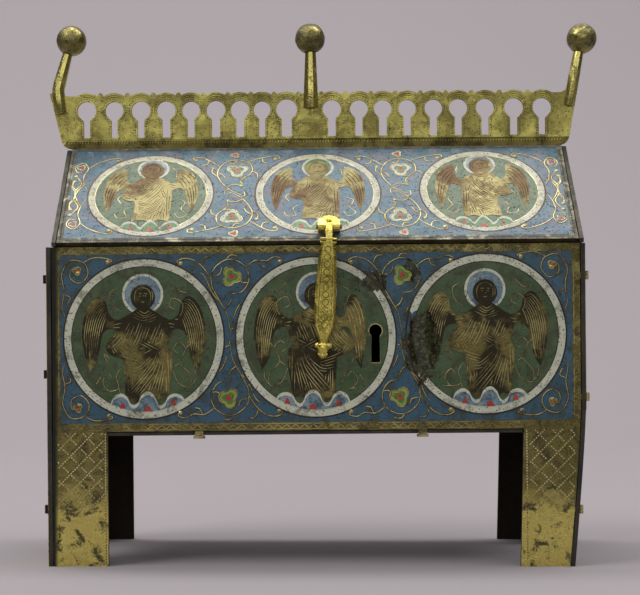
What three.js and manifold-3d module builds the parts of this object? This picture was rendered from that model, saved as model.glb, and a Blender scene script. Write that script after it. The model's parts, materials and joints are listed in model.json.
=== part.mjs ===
// A gabled reliquary casket of gilt copper sheet, built as a little house on four straight feet.
//
// The body is four upright plates held together by hammered tenons, over a floor plate.  The lid is a
// pitched roof of two plates and two gables, with a pierced crest along its ridge and three knobs on
// stems.  The lid turns on two strap hinges at the back, and a hasp hangs from its front slope.
//
// Units are millimetres.  X runs along the casket, Y from front to back, Z up.  Everything is laid out
// upright around the middle of the body, and the outermost group then sets the whole casket down a
// little askew, because its right-hand feet stand higher.

import * as THREE from "three";
import { mergeVertices } from "three/addons/utils/BufferGeometryUtils.js";
import Module from "manifold-3d";

const wasm = await Module();
wasm.setup();

// ---------------------------------------------------------------------------------- dimensions

const LEAN = THREE.MathUtils.degToRad(0.5); // the right side stands higher by this angle
const PLACE_X = -1.71; // puts the middle of the outline over the origin

const FIT = 0.3; // gap between neighbouring pieces
const FLOOR_CUT = -3; // the feet are made over-long, down to here, then cut off level

// Body
const BODY_WIDTH = 180.6; // over the end plates
const BODY_DEPTH = 72; // over the front and back plates
const BODY_BASE = 45.7; // lower edge of the walls, between the feet
const BODY_TOP = 107.8;
const WALL = 1.8; // front and back plates
const END_WALL = 1.4;
const END_PROUD = 0.3; // the end plates' edges stand this far past the front and back
const FLOOR_SHEET = 1.0;
const FOOT_INNER = { left: 70.3, right: 69.5 }; // from the middle to a foot's inner edge, along X
const FOOT_REACH_Y = 17; // width of a foot on the end plates
const BOW = { start: 52, outer: 4.0, inner: 1.4, power: 1.2 }; // the right feet bend inwards below start

// Hammered tenons: heights of those on the two ends, and places along X of those under the floor
const TENON_HEIGHTS = { left: [19.9, 65.2, 97.1], right: [18.3, 56.1, 97.0] };
const TENON_PLACES = [-39.6, 35.5];
const TENON = { tall: 2.8, thick: 1.0, head: 0.9, flare: 0.5 };

// Keyhole beside the hasp
const KEYHOLE = { x: 19.9, eye: 78.9, radius: 2.15, foot: 68.3, slot: 2.9 };

// Lid
const LID_X = 0.7; // the lid sits this far to the right of the body
const LID_WIDTH = 178.2; // over the gables
const EAVE = { y: 36.8, z: 109.2 };
const RIDGE = { y: 0.9, z: 144.8 };
const ROOF_SHEET = 1.6;
const GABLE_SHEET = 1.3;
const GABLE_PROUD = 0.25;

// Crest: [left, right] ends of its lower edge, of its rounded corners and of its upper corners
const CREST = {
  sheet: 1.2,
  foot: 145.1,
  shoulder: 148.0, // height at which the rounded lower corners end
  valley: 163.9, // bottom of the dips between the scallops
  root: 141.4, // lower edge of the tongue between the roof plates
  footEnds: [-87.0, 87.6],
  shoulderEnds: [-90.7, 91.2],
  upperEnds: [-94.5, 94.0],
};
const SCALLOP = { top: 164.95, radius: 6.6, bead: 0.95 };
const END_LOBE = { flat: 4.0, wide: 7.5 }; // the square-cut lobe at each end of the crest
const OPENING = { eye: 158.6, foot: 148.9 };
// The openings were pierced by hand: the place, the eye's radius and half the slot's width of each
const OPENINGS = [
  [-81.6, 3.4, 1.15], [-71.7, 3.3, 1.1], [-62.2, 3.4, 1.2], [-53.15, 3.35, 1.45], [-44.25, 3.2, 1.25],
  [-35.35, 3.4, 1.5], [-26.7, 3.35, 1.4], [-18.8, 3.05, 1.1], [-10.0, 3.75, 1.8], [6.2, 3.35, 1.35],
  [15.9, 3.2, 1.3], [24.5, 3.2, 1.4], [33.2, 3.15, 1.3], [42.6, 3.2, 1.3], [51.5, 3.3, 1.3],
  [61.1, 3.3, 1.35], [71.4, 3.45, 1.35], [81.5, 3.4, 1.2],
];
const MIDDLE_STEM_X = -1.3;

// Knobs on their stems: the stem's line from foot to top and its radii there, then the knob's middle
const KNOB_RADIUS = 5.35;
const STEMS = {
  left: { line: [[-90.9, 157.6], [-91.8, 166.1], [-87.7, 181.3]], radii: [2.0, 2.1, 1.6],
    knob: [-86.9, 183.8] },
  middle: { line: [[MIDDLE_STEM_X, 159.0], [-1.25, 181.4]], radii: [2.55, 1.8],
    knob: [-1.4, 183.9] },
  right: { line: [[91.1, 159.0], [95.35, 181.0]], radii: [2.0, 1.6],
    knob: [96.0, 183.1] },
};

// Strap hinges at the back
const HINGE = { places: { left: -50, right: 50 }, wide: 11, sheet: 1.0, down: 20, up: 22, barrel: 1.75,
  pin: 0.8, nail: 1.3 };
const HINGE_AXIS = { y: 38.4, z: 107.0 };

// Hasp and its hinge
const HASP = {
  x: 4.6,
  up: 4.6, // its hinge lies this far up the front slope, and this far off it
  out: 2.05,
  barrel: 1.65,
  pin: 0.7,
  knuckle: 2.3, // length of each of three knuckles
  leaf: { wide: 7.5, tall: 7.0, sheet: 0.9 },
  aslant: THREE.MathUtils.degToRad(3.3),
  back: -37.6, // rear face of the strap
  face: -39.5,
  chamfer: 0.9,
};
// Half widths of the strap, each at its distance below the hinge.
const STRAP_OUTLINE = [
  [5.0, 2.4], [8.0, 2.7], [13.0, 3.15], [20.0, 3.5], [30.0, 3.6],
  [33.0, 3.35], [36.0, 2.2], [38.0, 1.35], [40.5, 1.3],
];
const STRAP_RINGS = [4.1, 5.3]; // two thin rings around the strap's neck
const SNOUT = [[39.2, 0], [39.3, 1.5], [40.2, 1.95], [41.2, 1.6], [42.2, 1.75], [43.3, 1.6], [44.1, 1.0],
  [44.5, 0]]; // distance below the hinge and radius of the beast's head that ends the strap
const EARS = { below: 39.9, apart: 2.1, radius: 0.95 };

// ---------------------------------------------------------------------------------- materials

const finish = (color, roughness, metalness) =>
  new THREE.MeshStandardMaterial({ color, roughness, metalness });

const enamelled = () => finish(0x3c6590, 0.35, 0.2);
const gilt = () => finish(0xa58f42, 0.38, 0.9);
const brightGilt = () => finish(0xb89b45, 0.3, 0.95);
const bareCopper = () => finish(0x2e2a24, 0.6, 0.6);

// ---------------------------------------------------------------------------------- solid helpers

// Turns a closed three.js geometry into a solid that can be joined and cut.
function solid(geometry) {
  const bare = geometry.index ? geometry.toNonIndexed() : geometry.clone();
  bare.deleteAttribute("normal");
  bare.deleteAttribute("uv");
  const merged = mergeVertices(bare, 1e-4);
  return new wasm.Manifold(
    new wasm.Mesh({
      numProp: 3,
      vertProperties: new Float32Array(merged.attributes.position.array),
      triVerts: new Uint32Array(merged.index.array),
    }),
  );
}

function geometryOf(shape) {
  const mesh = shape.getMesh();
  const geometry = new THREE.BufferGeometry();
  geometry.setAttribute("position", new THREE.BufferAttribute(mesh.vertProperties, 3));
  geometry.setIndex(new THREE.BufferAttribute(mesh.triVerts, 1));
  geometry.computeVertexNormals();
  return geometry;
}

const join = (...solids) => solids.reduce((sum, next) => sum.add(next));

const mirrored = (sign, a, b) => (sign > 0 ? [a, b] : [-b, -a]);

function box([x0, x1], [y0, y1], [z0, z1]) {
  const geometry = new THREE.BoxGeometry(x1 - x0, y1 - y0, z1 - z0);
  geometry.translate((x0 + x1) / 2, (y0 + y1) / 2, (z0 + z1) / 2);
  return solid(geometry);
}

// A rod along X around the axis y, z.
function rodAlongX([x0, x1], { y, z }, radius, sides = 12) {
  const geometry = new THREE.CylinderGeometry(radius, radius, x1 - x0, sides);
  geometry.rotateZ(Math.PI / 2);
  geometry.translate((x0 + x1) / 2, y, z);
  return solid(geometry);
}

// A disc facing the front, as thick as half on either side of the plane y = 0.
function disc(x, z, radius, half, sides) {
  const geometry = new THREE.CylinderGeometry(radius, radius, 2 * half, sides);
  geometry.translate(x, 0, z);
  return solid(geometry);
}

// A round tapering rod between two points [x, z] of the plane y = 0.
function taperedRod([x0, z0], [x1, z1], r0, r1) {
  const geometry = new THREE.CylinderGeometry(r1, r0, Math.hypot(x1 - x0, z1 - z0), 12);
  geometry.rotateX(Math.PI / 2);
  geometry.rotateY(Math.atan2(x1 - x0, z1 - z0));
  geometry.translate((x0 + x1) / 2, 0, (z0 + z1) / 2);
  return solid(geometry);
}

function ball([x, z], radius, y = 0, sides = 12) {
  const geometry = new THREE.SphereGeometry(radius, sides, Math.round(sides * 0.6));
  geometry.rotateX(Math.PI / 2);
  geometry.translate(x, y, z);
  return solid(geometry);
}

const outlineOf = (points) => new THREE.Shape(points.map(([a, b]) => new THREE.Vector2(a, b)));

// A shape drawn in X and Z, as thick as the span along Y.
function uprightPlate(shape, [y0, y1], curveSegments = 10) {
  const geometry = new THREE.ExtrudeGeometry(shape, {
    depth: y1 - y0,
    bevelEnabled: false,
    curveSegments,
  });
  geometry.rotateX(Math.PI / 2);
  geometry.translate(0, y1, 0);
  return solid(geometry);
}

// A shape drawn in Y and Z, as thick as the span along X.
function crossPlate(shape, [x0, x1]) {
  const geometry = new THREE.ExtrudeGeometry(shape, { depth: x1 - x0, bevelEnabled: false });
  const turn = new THREE.Matrix4().makeBasis(
    new THREE.Vector3(0, 1, 0),
    new THREE.Vector3(0, 0, 1),
    new THREE.Vector3(1, 0, 0),
  );
  geometry.applyMatrix4(turn);
  geometry.translate(x0, 0, 0);
  return solid(geometry);
}

// ---------------------------------------------------------------------------------- body

const halfWidth = BODY_WIDTH / 2;
const halfDepth = BODY_DEPTH / 2;
const wallHalf = halfWidth - END_WALL - FIT; // half length of the front and back plates
const tenonY = (wallSign) => wallSign * (halfDepth - WALL / 2);

// How far a right-hand foot has bent inwards at height z.
const bow = (z, amount) => amount * Math.max(0, (BOW.start - z) / BOW.start) ** BOW.power;

// Heights at which the bent edge of a foot has a corner, from the top down.
const BOW_STEPS = 6;
const footHeights = Array.from(
  { length: BOW_STEPS + 1 },
  (_, i) => BOW.start - (i * (BOW.start - FLOOR_CUT)) / BOW_STEPS,
);

// All that lies under the floor the casket stands on: it cuts the feet off level.
const ground = solid(new THREE.BoxGeometry(400, 400, 40).translate(0, 0, -20).rotateY(LEAN));

// The front and back plates are one shape: a wall with a foot at each end.
function wallOutline() {
  const outer = footHeights.map((z) => [wallHalf - bow(z, BOW.outer), z]);
  const inner = [BODY_BASE, ...footHeights.filter((z) => z < BODY_BASE)].map((z) => [
    FOOT_INNER.right - bow(z, BOW.inner),
    z,
  ]);
  return outlineOf([
    [-wallHalf, BODY_TOP],
    [-wallHalf, FLOOR_CUT],
    [-FOOT_INNER.left, FLOOR_CUT],
    [-FOOT_INNER.left, BODY_BASE],
    ...inner,
    ...outer.reverse(),
    [wallHalf, BODY_TOP],
  ]);
}

// A tenon through an end plate: its neck, and the head hammered out beyond it.
function endTenon(sign, z, y) {
  const drift = sign < 0 ? 0 : bow(z, BOW.outer);
  const { tall, thick, head, flare } = TENON;
  const face = halfWidth - drift + FIT;
  const neck = box(
    mirrored(sign, wallHalf - drift - 1, face + 0.1),
    [y - thick / 2, y + thick / 2],
    [z - tall / 2 + flare, z + tall / 2 - flare],
  );
  const cap = box(
    mirrored(sign, face, face + head),
    [y - thick / 2 - flare, y + thick / 2 + flare],
    [z - tall / 2, z + tall / 2],
  );
  return join(neck, cap);
}

// A tenon past the floor plate, hammered over below it.
function floorTenon(x, y) {
  const { tall, thick, head, flare } = TENON;
  const under = BODY_BASE - FIT - FLOOR_SHEET - FIT;
  const neck = box([x - tall / 2, x + tall / 2], [y - thick / 2, y + thick / 2],
    [under - 0.1, BODY_BASE + 1]);
  const cap = box([x - tall / 2 - flare, x + tall / 2 + flare],
    [y - thick / 2 - flare, y + thick / 2 + flare], [under - head, under]);
  return join(neck, cap);
}

function wallPlate(wallSign) {
  const span = mirrored(wallSign, halfDepth - WALL, halfDepth);
  const y = tenonY(wallSign);
  const tenons = [
    ...TENON_HEIGHTS.left.map((z) => endTenon(-1, z, y)),
    ...TENON_HEIGHTS.right.map((z) => endTenon(1, z, y)),
    ...TENON_PLACES.map((x) => floorTenon(x, y)),
  ];
  return join(uprightPlate(wallOutline(), span), ...tenons).subtract(ground);
}

function keyhole() {
  const { x, eye, radius, foot, slot } = KEYHOLE;
  const turn = Math.asin(slot / 2 / radius);
  const outline = new THREE.Shape();
  outline.moveTo(x - slot / 2, foot);
  outline.lineTo(x + slot / 2, foot);
  outline.absarc(x, eye, radius, turn - Math.PI / 2, 1.5 * Math.PI - turn, false);
  outline.closePath();
  return uprightPlate(outline, [-halfDepth - 1, WALL - halfDepth + 1]);
}

const frontPlate = () => wallPlate(-1).subtract(keyhole());
const backPlate = () => wallPlate(1);

// An end plate is a strip seen from the front, bent where its feet bend.  The gap between its feet
// and the holes for the tenons are cut out of it.
function endPlate(side) {
  const sign = side === "left" ? -1 : 1;
  const amount = side === "left" ? 0 : BOW.outer;
  const edge = (x) => footHeights.map((z) => [sign * (x - bow(z, amount)), z]);
  const strip = outlineOf([
    [sign * halfWidth, BODY_TOP],
    ...edge(halfWidth),
    ...edge(halfWidth - END_WALL).reverse(),
    [sign * (halfWidth - END_WALL), BODY_TOP],
  ]);
  const reach = halfDepth + END_PROUD;
  const across = mirrored(sign, halfWidth - 8, halfWidth + 2);
  const gap = halfDepth - FOOT_REACH_Y;
  const cuts = [ground, box(across, [-gap, gap], [FLOOR_CUT - 1, BODY_BASE])];
  const { tall, thick, flare } = TENON;
  for (const z of TENON_HEIGHTS[side]) {
    for (const y of [tenonY(-1), tenonY(1)]) {
      const up = [z - tall / 2 + flare - FIT, z + tall / 2 - flare + FIT];
      cuts.push(box(across, [y - thick / 2 - FIT, y + thick / 2 + FIT], up));
    }
  }
  return uprightPlate(strip, [-reach, reach]).subtract(join(...cuts));
}

// The floor plate fills the inside, and shows as a thin edge under each wall between the feet.
function floorPlate() {
  const up = [BODY_BASE - FIT - FLOOR_SHEET, BODY_BASE - FIT];
  const inside = halfDepth - WALL - FIT;
  const reachY = halfDepth + END_PROUD;
  const gapY = halfDepth - FOOT_REACH_Y - FIT;
  const bent = bow(BODY_BASE, BOW.outer) + FIT;
  const plate = join(
    box([-wallHalf, wallHalf - bent], [-inside, inside], up),
    box([FIT - FOOT_INNER.left, FOOT_INNER.right - bent], [-reachY, reachY], up),
    box([-halfWidth, halfWidth - bent], [-gapY, gapY], up),
  );
  const { tall, thick } = TENON;
  const notches = TENON_PLACES.flatMap((x) =>
    [-1, 1].map((sign) => {
      const y = mirrored(sign, halfDepth - WALL / 2 - thick / 2 - FIT, reachY + 1);
      return box([x - tall / 2 - FIT, x + tall / 2 + FIT], y, [up[0] - 1, up[1] + 1]);
    }),
  );
  return plate.subtract(join(...notches));
}

// ---------------------------------------------------------------------------------- lid

const slope = { y: EAVE.y - RIDGE.y, z: RIDGE.z - EAVE.z };
const slopeLength = Math.hypot(slope.y, slope.z);
const pitch = Math.atan2(slope.z, slope.y);
const lidHalf = LID_WIDTH / 2;
const roofHalf = lidHalf - GABLE_SHEET - FIT;
const lidSpan = (x0, x1) => [LID_X + x0, LID_X + x1];

// The point of a roof face that lies up its slope from the eave, and out from it.
function onRoof(sign, up, out) {
  return {
    y: sign * (EAVE.y - up * Math.cos(pitch) + out * Math.sin(pitch)),
    z: EAVE.z + up * Math.sin(pitch) + out * Math.cos(pitch),
  };
}

const haspAxis = onRoof(-1, HASP.up, HASP.out);

// A roof plate's upper edge stands upright beside the crest.
function roofPlate(sign) {
  const underEave = onRoof(sign, 0, -ROOF_SHEET);
  const underRidge = RIDGE.z - ROOF_SHEET / Math.cos(pitch);
  const section = outlineOf([
    [sign * EAVE.y, EAVE.z],
    [sign * RIDGE.y, RIDGE.z],
    [sign * RIDGE.y, underRidge],
    [underEave.y, underEave.z],
  ]);
  return crossPlate(section, lidSpan(-roofHalf, roofHalf));
}

function gable(side) {
  const low = onRoof(1, 0, -ROOF_SHEET).z;
  const eave = onRoof(1, 0, GABLE_PROUD);
  const peak = RIDGE.z - FIT;
  const peakHalf = RIDGE.y + GABLE_PROUD;
  const outline = outlineOf([
    [-eave.y, eave.z], [-eave.y, low], [eave.y, low], [eave.y, eave.z],
    [peakHalf, peak], [-peakHalf, peak],
  ]);
  const span = mirrored(side === "left" ? -1 : 1, lidHalf - GABLE_SHEET, lidHalf);
  return crossPlate(outline, lidSpan(...span));
}

// A keyhole opening: a round eye that runs down through short shoulders into a slot.
function crestOpening([x, radius, slot], half) {
  const { eye, foot } = OPENING;
  const side = radius * Math.SQRT1_2;
  const shoulders = outlineOf([
    [x - side, eye - side], [x - slot, eye - 2 * side + slot], [x - slot, foot],
    [x + slot, foot], [x + slot, eye - 2 * side + slot], [x + side, eye - side],
  ]);
  return join(disc(x, eye, radius, half, 20), uprightPlate(shoulders, [-half, half]));
}

// A square-cut lobe at one end of the crest; `inwards` is 1 at the left end and -1 at the right.
function crestEndLobe(corner, inwards, half) {
  const { flat, wide } = END_LOBE;
  const lobe = outlineOf([
    [corner, CREST.valley - 1], [corner - 0.25 * inwards, SCALLOP.top],
    [corner + flat * inwards, SCALLOP.top], [corner + wide * inwards, CREST.valley - 1],
  ]);
  return uprightPlate(lobe, [-half, half]);
}

// The crest is a flared strip with a scalloped upper edge and a bead in each dip.  A tongue along its
// foot goes down between the roof plates.
function crest() {
  const { sheet, foot, shoulder, valley, root, footEnds, shoulderEnds, upperEnds } = CREST;
  const half = sheet / 2;
  const strip = new THREE.Shape();
  strip.moveTo(upperEnds[0], valley);
  strip.lineTo(shoulderEnds[0], shoulder);
  strip.quadraticCurveTo(shoulderEnds[0] + 0.7, foot, footEnds[0], foot);
  strip.lineTo(footEnds[1], foot);
  strip.quadraticCurveTo(shoulderEnds[1] - 0.7, foot, shoulderEnds[1], shoulder);
  strip.lineTo(upperEnds[1], valley);
  strip.closePath();

  const places = [...OPENINGS.map(([x]) => x), MIDDLE_STEM_X].sort((a, b) => a - b);
  const aboveDips = box([upperEnds[0], upperEnds[1]], [-half - 1, half + 1], [valley - 1, valley + 9]);
  const lobes = places.map((x) => disc(x, SCALLOP.top - SCALLOP.radius, SCALLOP.radius, half, 28));
  const beads = places.slice(1).map((x, i) =>
    disc((x + places[i]) / 2, valley + 0.15, SCALLOP.bead, half, 8),
  );
  const ends = [crestEndLobe(upperEnds[0], 1, half), crestEndLobe(upperEnds[1], -1, half)];
  const tongue = box(lidSpan(2 - roofHalf, roofHalf - 2), [-half, half], [root, foot + 1]);
  const openings = OPENINGS.map((opening) => crestOpening(opening, half + 1));
  return join(uprightPlate(strip, [-half, half], 6), join(...lobes).intersect(aboveDips), ...beads,
    ...ends, tongue).subtract(join(...openings));
}

// A stem is a forged rod whose foot is slit to straddle the crest.
function stem({ line, radii }) {
  const rods = line.slice(1).map((end, i) => taperedRod(line[i], end, radii[i], radii[i + 1]));
  const bends = line.slice(1, -1).map((bend, i) => ball(bend, radii[i + 1]));
  const foot = ball(line[0], radii[0]);
  const slit = CREST.sheet / 2 + FIT;
  return join(...rods, ...bends, foot).subtract(
    box([-120, 120], [-slit, slit], [CREST.foot, SCALLOP.top + FIT]),
  );
}

// A knob is a ball drilled from below for its stem.
function knob({ line, radii, knob: middle }) {
  const [x0, z0] = line.at(-2);
  const [x1, z1] = line.at(-1);
  const length = Math.hypot(x1 - x0, z1 - z0);
  const beyond = (by) => [x1 + ((x1 - x0) / length) * by, z1 + ((z1 - z0) / length) * by];
  const bore = radii.at(-1) + 2 * FIT;
  return ball(middle, KNOB_RADIUS, 0, 20).subtract(taperedRod(beyond(-6), beyond(FIT), bore, bore));
}

// ---------------------------------------------------------------------------------- hinges

// Lengths along X of three knuckles: the middle one turns between the outer two.
function knuckleSpans(x, length) {
  const inner = length / 2;
  const outer = inner + FIT + length;
  return { middle: [x - inner, x + inner], left: [x - outer, x - inner - FIT],
    right: [x + inner + FIT, x + outer] };
}

// A strap with a round end, laid along the direction of its length from a starting point, with its
// under side facing the opposite way to `out`.  Both directions lie in the Y-Z plane.
function strapOn(x, start, direction, out, { wide, long, sheet }) {
  const half = wide / 2;
  const shape = new THREE.Shape();
  shape.moveTo(-half, 0);
  shape.lineTo(half, 0);
  shape.lineTo(half, long - half);
  shape.absarc(0, long - half, half, 0, Math.PI, false);
  shape.closePath();
  const geometry = new THREE.ExtrudeGeometry(shape, { depth: sheet, bevelEnabled: false,
    curveSegments: 6 });
  const lengthwise = new THREE.Vector3(0, direction.y, direction.z);
  const outward = new THREE.Vector3(0, out.y, out.z);
  const across = new THREE.Vector3().crossVectors(lengthwise, outward);
  geometry.applyMatrix4(new THREE.Matrix4().makeBasis(across, lengthwise, outward));
  geometry.translate(x, start.y, start.z);
  return solid(geometry);
}

// A round nail head standing on a strap.
function nailHead(x, at, out, radius) {
  const geometry = new THREE.SphereGeometry(radius, 8, 4);
  geometry.scale(1, 0.6, 0.6);
  geometry.translate(x, at.y + 0.1 * out.y, at.z + 0.1 * out.z);
  return solid(geometry);
}

const HINGE_KNUCKLE = (HINGE.wide - 2 * FIT) / 3;
const hingeBore = (x) => rodAlongX([x - HINGE.wide, x + HINGE.wide], HINGE_AXIS, HINGE.pin + FIT, 12);
const hingePin = (x) => rodAlongX([x - HINGE.wide / 2, x + HINGE.wide / 2], HINGE_AXIS, HINGE.pin, 12);

// The leaf nailed on the back plate carries the outer knuckles.
function bodyLeaf(x) {
  const spans = knuckleSpans(x, HINGE_KNUCKLE);
  const out = { y: 1, z: 0 };
  const strap = strapOn(x, { y: halfDepth + FIT, z: HINGE_AXIS.z }, { y: 0, z: -1 }, out,
    { wide: HINGE.wide, long: HINGE.down, sheet: HINGE.sheet });
  const nails = [0.42, 0.78].map((part) =>
    nailHead(x, { y: halfDepth + FIT + HINGE.sheet, z: HINGE_AXIS.z - part * HINGE.down }, out, HINGE.nail),
  );
  const room = rodAlongX([spans.middle[0] - FIT, spans.middle[1] + FIT], HINGE_AXIS,
    HINGE.barrel + FIT);
  const barrels = [spans.left, spans.right].map((span) => rodAlongX(span, HINGE_AXIS, HINGE.barrel));
  return join(strap, ...nails).subtract(room).add(join(...barrels)).subtract(hingeBore(x));
}

// The leaf nailed on the roof carries the middle knuckle.
function lidLeaf(x) {
  const spans = knuckleSpans(x, HINGE_KNUCKLE);
  const uphill = { y: -Math.cos(pitch), z: Math.sin(pitch) };
  const out = { y: Math.sin(pitch), z: Math.cos(pitch) };
  const below = (HINGE_AXIS.y - EAVE.y) * Math.cos(pitch) + (EAVE.z - HINGE_AXIS.z) * Math.sin(pitch);
  const start = onRoof(1, -below, FIT);
  const strap = strapOn(x, start, uphill, out,
    { wide: HINGE.wide, long: HINGE.up, sheet: HINGE.sheet });
  const nails = [0.45, 0.8].map((part) =>
    nailHead(x, onRoof(1, part * HINGE.up - below, FIT + HINGE.sheet), out, HINGE.nail),
  );
  const rooms = [spans.left, spans.right].map(([a, b]) =>
    rodAlongX([a - FIT, b + FIT], HINGE_AXIS, HINGE.barrel + FIT),
  );
  const barrel = rodAlongX(spans.middle, HINGE_AXIS, HINGE.barrel);
  return join(strap, ...nails).subtract(join(...rooms)).add(barrel).subtract(hingeBore(x));
}

// ---------------------------------------------------------------------------------- hasp

const haspSpans = knuckleSpans(HASP.x, HASP.knuckle);
const haspBore = rodAlongX([HASP.x - 9, HASP.x + 9], haspAxis, HASP.pin + FIT, 12);
const haspPin = () => rodAlongX([haspSpans.left[0] - 0.5, haspSpans.right[1] + 0.5], haspAxis, HASP.pin, 12);

// The leaf nailed on the front slope carries the outer knuckles of the hasp's hinge.
function haspLeaf() {
  const uphill = { y: Math.cos(pitch), z: Math.sin(pitch) };
  const out = { y: -Math.sin(pitch), z: Math.cos(pitch) };
  const { wide, tall, sheet } = HASP.leaf;
  const strap = strapOn(HASP.x, onRoof(-1, HASP.up, FIT), uphill, out, { wide, long: tall, sheet });
  const nail = nailHead(HASP.x, onRoof(-1, HASP.up + tall * 0.6, FIT + sheet), out, 1.0);
  const room = rodAlongX([haspSpans.middle[0] - FIT, haspSpans.middle[1] + FIT], haspAxis,
    HASP.barrel + FIT);
  const barrels = [haspSpans.left, haspSpans.right].map((span) =>
    rodAlongX(span, haspAxis, HASP.barrel),
  );
  return join(strap, nail).subtract(room).add(join(...barrels)).subtract(haspBore);
}

// The strap with its chamfered edges.  It is extruded with both edges chamfered, then its back is cut
// off flat.
function haspStrap() {
  const right = STRAP_OUTLINE.map(([below, half]) => [half, -below]);
  const left = STRAP_OUTLINE.map(([below, half]) => [-half, -below]).reverse();
  const edge = -HASP.face + HASP.back; // thickness of the strap
  const geometry = new THREE.ExtrudeGeometry(outlineOf([...left, ...right]), {
    depth: edge,
    bevelThickness: HASP.chamfer,
    bevelSize: HASP.chamfer,
    bevelOffset: -HASP.chamfer,
    bevelSegments: 1,
  });
  geometry.rotateX(Math.PI / 2);
  geometry.translate(0, HASP.face + HASP.chamfer + edge, 0);
  const behind = box([-9, 9], [HASP.back, 0], [-60, 5]);
  return solid(geometry).subtract(behind);
}

// Two thin rings around the top of the strap.
function neckRing(below) {
  return box([-2.75, 2.75], [HASP.face - 0.3, HASP.back + 0.3], [-below - 0.35, -below + 0.35]);
}

// The strap ends in a small beast's head: a ringed snout with two ears.
function beastHead() {
  const y = (HASP.back + HASP.face) / 2;
  const profile = [...SNOUT].reverse().map(([below, radius]) => new THREE.Vector2(radius, -below));
  const snout = new THREE.LatheGeometry(profile, 14);
  snout.rotateX(Math.PI / 2);
  snout.translate(0, y, 0);
  const ears = [-1, 1].map((sign) => ball([sign * EARS.apart, -EARS.below], EARS.radius, y, 10));
  return join(solid(snout), ...ears);
}

// The hanging part is made upright around its hinge, then set aslant.
function hasp() {
  const hanging = join(haspStrap(), ...STRAP_RINGS.map(neckRing), beastHead())
    .rotate([0, THREE.MathUtils.radToDeg(HASP.aslant), 0])
    .translate([HASP.x, 0, haspAxis.z]);
  const { y, z } = haspAxis;
  const neck = crossPlate(
    outlineOf([
      [y - 0.4, z + 1.55], [y - 3.2, z - 1.2], [HASP.face, z - 4.3], [HASP.face, z - 5.6],
      [HASP.back, z - 5.6], [y - 2.2, z - 3.4], [y - 1.0, z - 1.2],
    ]),
    haspSpans.middle,
  );
  return join(rodAlongX(haspSpans.middle, haspAxis, HASP.barrel), neck, hanging).subtract(haspBore);
}

// ---------------------------------------------------------------------------------- assembly

function piece(name, shape, material) {
  const mesh = new THREE.Mesh(geometryOf(shape), material);
  mesh.name = name;
  return mesh;
}

function body() {
  const group = new THREE.Group();
  group.add(
    piece("front_plate", frontPlate(), enamelled()),
    piece("back_plate", backPlate(), enamelled()),
    piece("left_end_plate", endPlate("left"), enamelled()),
    piece("right_end_plate", endPlate("right"), enamelled()),
    piece("floor_plate", floorPlate(), bareCopper()),
  );
  for (const [side, x] of Object.entries(HINGE.places)) {
    group.add(
      piece(`${side}_hinge_body_leaf`, bodyLeaf(x), gilt()),
      piece(`${side}_hinge_pin`, hingePin(x), bareCopper()),
    );
  }
  return group;
}

function lid() {
  const group = new THREE.Group();
  group.add(
    piece("roof_front", roofPlate(-1), enamelled()),
    piece("roof_back", roofPlate(1), enamelled()),
    piece("left_gable", gable("left"), enamelled()),
    piece("right_gable", gable("right"), enamelled()),
    piece("crest", crest(), brightGilt()),
    piece("hasp_hinge_leaf", haspLeaf(), brightGilt()),
    piece("hasp_hinge_pin", haspPin(), bareCopper()),
  );
  for (const [place, parts] of Object.entries(STEMS)) {
    group.add(
      piece(`${place}_stem`, stem(parts), brightGilt()),
      piece(`${place}_knob`, knob(parts), brightGilt()),
    );
  }
  for (const [side, x] of Object.entries(HINGE.places)) {
    group.add(piece(`${side}_hinge_lid_leaf`, lidLeaf(x), gilt()));
  }
  return group;
}

const casket = new THREE.Group();
casket.add(body(), lid(), piece("hasp", hasp(), brightGilt()));
casket.rotation.y = -LEAN;
casket.position.x = PLACE_X;

export default casket;
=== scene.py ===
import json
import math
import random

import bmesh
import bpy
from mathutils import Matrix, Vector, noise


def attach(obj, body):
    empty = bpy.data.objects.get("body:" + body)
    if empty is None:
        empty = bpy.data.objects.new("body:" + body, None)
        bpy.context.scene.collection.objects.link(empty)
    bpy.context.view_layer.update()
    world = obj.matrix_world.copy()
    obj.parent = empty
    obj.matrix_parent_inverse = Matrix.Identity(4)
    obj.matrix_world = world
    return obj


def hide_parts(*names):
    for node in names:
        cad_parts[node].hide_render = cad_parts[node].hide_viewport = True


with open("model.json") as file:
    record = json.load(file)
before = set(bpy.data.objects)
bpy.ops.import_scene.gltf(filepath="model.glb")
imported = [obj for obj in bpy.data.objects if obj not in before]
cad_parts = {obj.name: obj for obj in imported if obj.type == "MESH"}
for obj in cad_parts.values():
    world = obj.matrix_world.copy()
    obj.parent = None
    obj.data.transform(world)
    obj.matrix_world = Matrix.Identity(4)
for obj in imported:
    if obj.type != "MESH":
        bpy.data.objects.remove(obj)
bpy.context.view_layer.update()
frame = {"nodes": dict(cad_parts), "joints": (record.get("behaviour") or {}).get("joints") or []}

# %% [markdown]
# # A reliquary casket of gilt and enamelled copper
#
# This lesson dresses a finished construction model of a small house-shaped casket.  The plates, the
# lid, its hinges and the hasp are already there at their real size, as solids that ride on three
# moving bodies: "casket", "lid" and "hasp".  What is missing is what a goldsmith did after the
# plates were cut: the sunk fields of coloured glass, the engraved figures, the punched crest, and
# seven centuries of wear.  We measure the solids first, because every piece takes its place from them.

MM = 0.001
random.seed(7)

# %% [markdown]
# The casket stands a little askew.  It is far easier to draw its ornament on an upright casket, so we
# read the lean from the hinge's axis and keep one matrix that sets upright millimetres down in the
# leaning model, in metres.

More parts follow.
